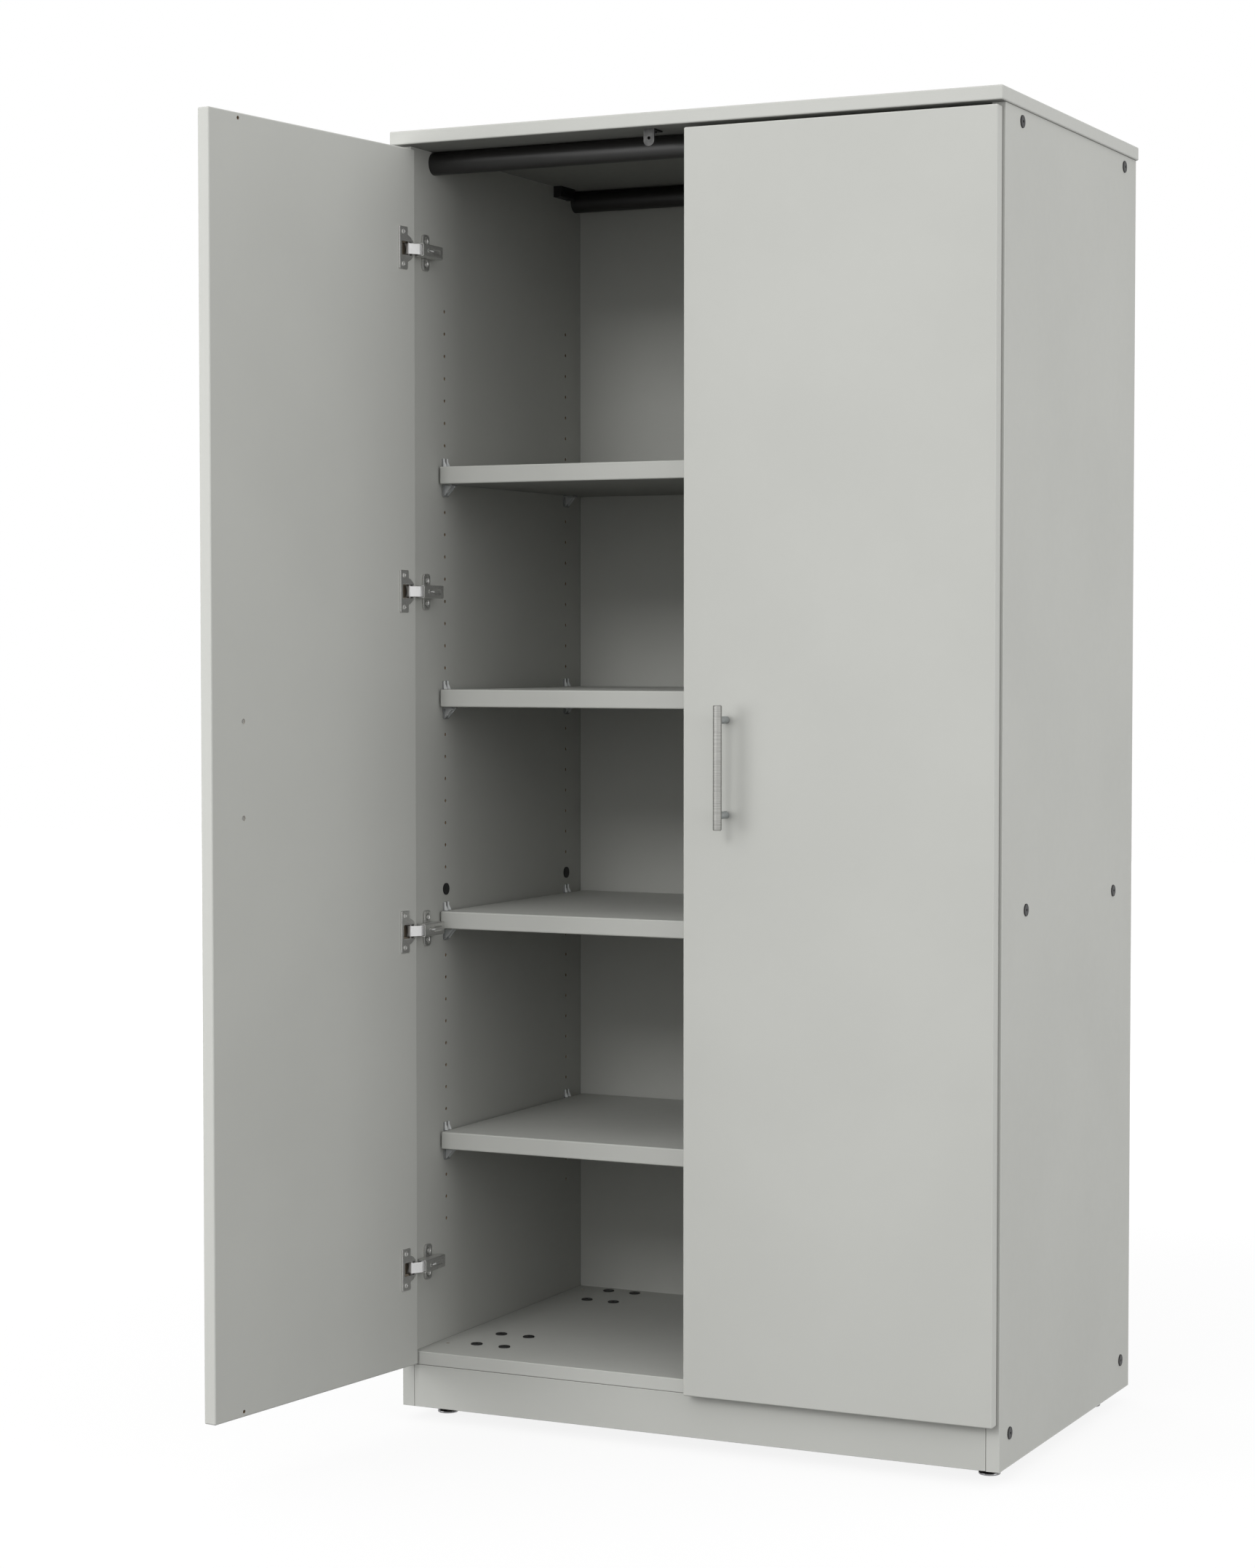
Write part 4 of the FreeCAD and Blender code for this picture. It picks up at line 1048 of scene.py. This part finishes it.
# %% [markdown]
# ## Shelf clips
# Each shelf is held by four clear moulded clips. A clip is a thin back plate with two pegs in the
# pin holes, a ledge under the shelf on two triangular webs, and two slanted prongs that snap over
# the top. One cube with a glass shader would hide all that. Clear plastic shows mostly by its
# rounded edges, so every part is a slab with a rolled rim.

# %% Clip parts
clip_half, clip_back, ledge_level, shelf_level, clip_top = 9.0, 2.5, 18.0, 43.0, 55.5
ledge_reach, ledge_thickness, web_half, web_middle = 16.0, 2.5, 1.25, 5.0
tab_thickness, tab_overlap, prong_half, clip_rim, tab_rim, prong_rim = 1.3, 1.0, 1.5, 0.5, 0.4, 0.3
peg_core, peg_radius, peg_taper, peg_length = 1.4, 2.4, 0.8, 9.0
peg_sides, peg_levels, root = 20, (10.0, 42.0), 0.5
back_rounding, tab_rounding = [4.0, 4.0, 0.8, 0.8], [0.5, 0.5, 2.0, 2.0]
ledge_rounding, web_rounding, prong_rounding = 1.2, 0.7, [0.4, 0.6, 0.8, 0.5, 0.5]
under_ledge, peg_end = ledge_level - ledge_thickness, peg_length + root
web_corners = [(1.9, 0.6), (15.6, under_ledge + root), (1.9, under_ledge + root)]
prong_corners = [(0.3, 43.3), (6.0, 43.3), (2.5, 51.0), (2.4, 55.3), (0.3, 55.3)]
peg_profile = [(peg_core, 0.0), (peg_radius, peg_taper), (peg_radius, peg_end), (peg_core, peg_end)]


def clip_shapes():
    """The slabs of one clip, then its two prongs: u runs away from the side, v along it and w up
    from the foot."""
    out, along, up = np.eye(3)
    back = rounded_box(-clip_half, clip_half, 0.0, shelf_level, back_rounding)
    tab = rounded_box(-clip_half, clip_half, shelf_level - tab_overlap, clip_top, tab_rounding)
    ledge = rounded_box(clip_back - root, ledge_reach, -clip_half, clip_half, ledge_rounding)
    web = soft_slab(rounded_outline(web_corners, web_rounding), -web_half, web_half, clip_rim)
    prong = rounded_outline(prong_corners, prong_rounding)
    prong = soft_slab(prong, -prong_half, prong_half, prong_rim)
    walls = [soft_slab(back, 0.0, clip_back, clip_rim), soft_slab(tab, 0.0, tab_thickness, tab_rim)]
    shapes = [placed(wall, (0.0, 0.0, 0.0), along, up, out) for wall in walls]
    shapes.append(soft_slab(ledge, under_ledge, ledge_level, clip_rim))
    beside = [(0.0, v, 0.0) for v in (-web_middle, web_middle)]
    shapes += [placed(web, origin, out, up, along) for origin in beside]
    peg = turned(peg_profile, peg_sides)
    shapes += [placed(peg, (-peg_length, 0.0, w), up, along, out) for w in peg_levels]
    return shapes, [placed(prong, origin, out, up, along) for origin in beside]


print("clip", clip_top, "mm high on pegs at", peg_levels)

# %% Clips under the shelves
one_clip, two_prongs = clip_shapes()
for shelf in shelves:
    clips, prongs = [], []
    for low, high in solid_boxes(shelf + "_clips"):
        side, _ = inner_face_of(low, high)
        origin, out = (side * inner_face, (low[1] + high[1]) / 2, low[2]), (-side, 0.0, 0.0)
        clips += [placed(shape, origin, out, to_back, upwards) for shape in one_clip]
        prongs += [placed(shape, origin, out, to_back, upwards) for shape in two_prongs]
    piece(shelf + "_moulded_clips", clips, "carcass", "clip_clear", [shelf + "_clips"])
    # The prongs wear the whiter copy of the plastic, a painted highlight.
    piece(shelf + "_clip_prongs", prongs, "carcass", "clip_clear", finish=prong_painted_highlight)

# %% [markdown]
# ## Handles
# A bar handle is a turned steel bar on two posts. A cylinder would show a knife edge at its ends.
# On the lathe the bar's ends are eased, and each post is turned with a small chamfer where it
# meets the door, which is what draws the fine dark line there.

# %% Bar handles
bar_radius, bar_ease, bar_core, bar_sides, ease_steps = 6.0, 1.5, 1.5, 64, 6
bar_low, bar_high = node_box("right_handle_bar")
bar_x, bar_y = (bar_low[:2] + bar_high[:2]) / 2
bar_length = bar_high[2] - bar_low[2]
quarter = np.linspace(0.0, np.pi / 2, ease_steps)
bar_rise = np.concatenate([[0.0], bar_ease * (1 - np.cos(quarter))])
bar_turn = np.concatenate([[bar_core], bar_radius - bar_ease * (1 - np.sin(quarter))])
rises = (bar_rise, bar_length - bar_rise)
low_end, high_end = [np.stack([bar_turn, rise], axis=1) for rise in rises]
bar = turned(np.concatenate([low_end, high_end[::-1]]), bar_sides)
bar = placed(bar, (bar_x, bar_y, bar_low[2]), to_right, to_back, upwards)
both_sides("bar", [bar], "handle_steel", "handle_bar")

# %% Handle posts
post_radius, post_core, post_start = 5.0, 1.5, 3.2
post_reach = door_low[1] - bar_y
post_profile = [(post_core, post_start), (post_radius, post_start), (post_radius, post_reach - 1.4)]
post_profile += [(4.85, post_reach - 0.8), (4.3, post_reach), (post_core, post_reach)]
post_satin = plated("post_satin_finish", (0.290, 0.306, 0.303), 0.50, 400.0, 0.10, 0.05, 0.2)
posts = []
for low, high in solid_boxes("right_handle_posts"):
    origin = (bar_x, bar_y, (low[2] + high[2]) / 2)
    posts.append(placed(turned(post_profile), origin, to_right, downwards, to_back))
both_sides("posts", posts, "handle_steel", "handle_posts", finish=post_satin)

# %% [markdown]
# ## Levelling feet
# Each foot is a chromed pad on a screwed stem, turned by hand to level the cupboard. A thread
# could be faked with a bump, but it shows in outline under the plinth. The pad is one turned
# profile with a rolled rim and a low cone, and the stem's thread is a ridge that climbs one pitch
# with every turn.

# %% Feet
pad_profile = [(4.0, 0.0), (13.2, 0.0), (14.4, 0.3), (14.9, 1.0), (15.0, 1.7), (15.0, 2.4)]
pad_profile += [(14.7, 3.2), (14.0, 3.8), (12.8, 4.1), (11.8, 4.5), (8.6, 6.6), (7.0, 7.9)]
pad_profile += [(6.3, 8.6), (6.0, 9.0), (5.4, 9.3), (3.0, 9.3)]
stem_radius, stem_start, stem_pitch, stem_ridge = 4.0, 9.0, 1.5, 0.45
for corner in ("front_left", "front_right", "back_left", "back_right"):
    low, high = node_box(corner + "_foot")
    x, y, _ = (low + high) / 2
    thread = (stem_start, high[2] - low[2], stem_pitch, stem_ridge)
    stem = threaded(stem_radius, *thread, sides=24, rows_per_turn=6)
    pad = turned(pad_profile, sides=64)
    shapes = [placed(shape, (x, y, low[2]), to_right, to_back, upwards) for shape in (pad, stem)]
    piece(corner + "_pad_and_stem", shapes, corner + "_leveller", "foot_chrome", [corner + "_foot"])

# %% [markdown]
# ## The floor
# The object stands on a plain white floor in an even white studio. A floor lit up to pure white
# would throw too much light on the boards, so it is dark paint with a white glow that only the
# camera, and what metal and glass mirror, can see. The glow is a little short of white near the
# cupboard, which leaves room for its soft shadow.

# %% Floor
def seen_directly(tree):
    """1 for rays that come from the camera, a mirror or through glass, 0 for the rays that light
    the object."""
    path = add_node(tree, "ShaderNodeLightPath").outputs
    by_mirror = maths(tree, "MAXIMUM", path["Is Glossy Ray"], path["Is Transmission Ray"])
    return maths(tree, "MAXIMUM", path["Is Camera Ray"], by_mirror)


floor_half, floor_roughness = 12.0, 0.9
floor_grey, white = (0.12, 0.12, 0.12, 1.0), (1.0, 1.0, 1.0, 1.0)
glow_near, glow_far, glow_start, glow_end = 0.87, 1.0, 1.2, 3.6
floor_corners = floor_half * np.array([[-1, -1, 0], [1, -1, 0], [1, 1, 0], [-1, 1, 0]], float)
floor_mesh = bpy.data.meshes.new("studio_floor")
floor_mesh.from_pydata(floor_corners.tolist(), [], [(0, 1, 2, 3)])
floor = bpy.data.objects.new("studio_floor", floor_mesh)
bpy.context.scene.collection.objects.link(floor)
floor_paint, tree, shader = start_material("studio_floor_paint")
away = add_node(tree, "ShaderNodeVectorMath", {0: object_place(tree)}, operation="LENGTH")
glow = ramp(tree, away.outputs["Value"], glow_start, glow_end, glow_near, glow_far)
glow = maths(tree, "MULTIPLY", seen_directly(tree), glow)
plug(tree, shader, {"Base Color": floor_grey, "Roughness": floor_roughness, "Specular IOR Level": 0.0})
plug(tree, shader, {"Emission Color": white, "Emission Strength": glow})
floor_mesh.materials.append(floor_paint)
print("floor", 2 * floor_half, "m across")

# %% [markdown]
# ## World and lamps
# Soft light comes from the world all round, a little under white, so that grey stays grey. Four
# large panels add the direction that the picture shows: one far and high in front, two to the
# left and one to the right. Small lamps would draw hard shadows behind the handle and the links,
# so every panel is metres wide.

# %% World and lamps
ambient = 0.93
world = bpy.data.worlds.new("studio_world")
bpy.context.scene.world = world
world.use_nodes = True
tree = world.node_tree
background = tree.nodes["Background"]
strength = ramp(tree, seen_directly(tree), 0.0, 1.0, ambient, 1.0)
plug(tree, background, {"Color": white, "Strength": strength})


def soft_panel(name, place, aim, size, power):
    """A square lamp panel that faces aim: tipped by its slope, then turned by its heading."""
    lamp = bpy.data.lights.new(name, "AREA")
    lamp.shape = "SQUARE"
    lamp.size = size
    lamp.energy = power
    panel = bpy.data.objects.new(name, lamp)
    panel.location = place
    x, y, z = np.subtract(aim, place)
    panel.rotation_euler = (math.atan2(math.hypot(x, y), -z), 0.0, math.atan2(-x, y))
    bpy.context.scene.collection.objects.link(panel)


middle = (0.0, 0.0, 1.0)
soft_panel("far_front_lamp", (-1.2, -13.0, 7.5), middle, size=3.5, power=400.0)
soft_panel("left_front_lamp", (-2.5, -4.5, 4.0), middle, size=2.6, power=37.0)
soft_panel("low_left_lamp", (-3.5, -4.0, 0.9), middle, size=3.0, power=109.0)
soft_panel("right_lamp", (4.8, -0.8, 1.3), middle, size=2.6, power=64.0)
bpy.context.scene.view_settings.view_transform = "Standard"
print("lamps", sorted(lamp.name for lamp in bpy.data.lights))
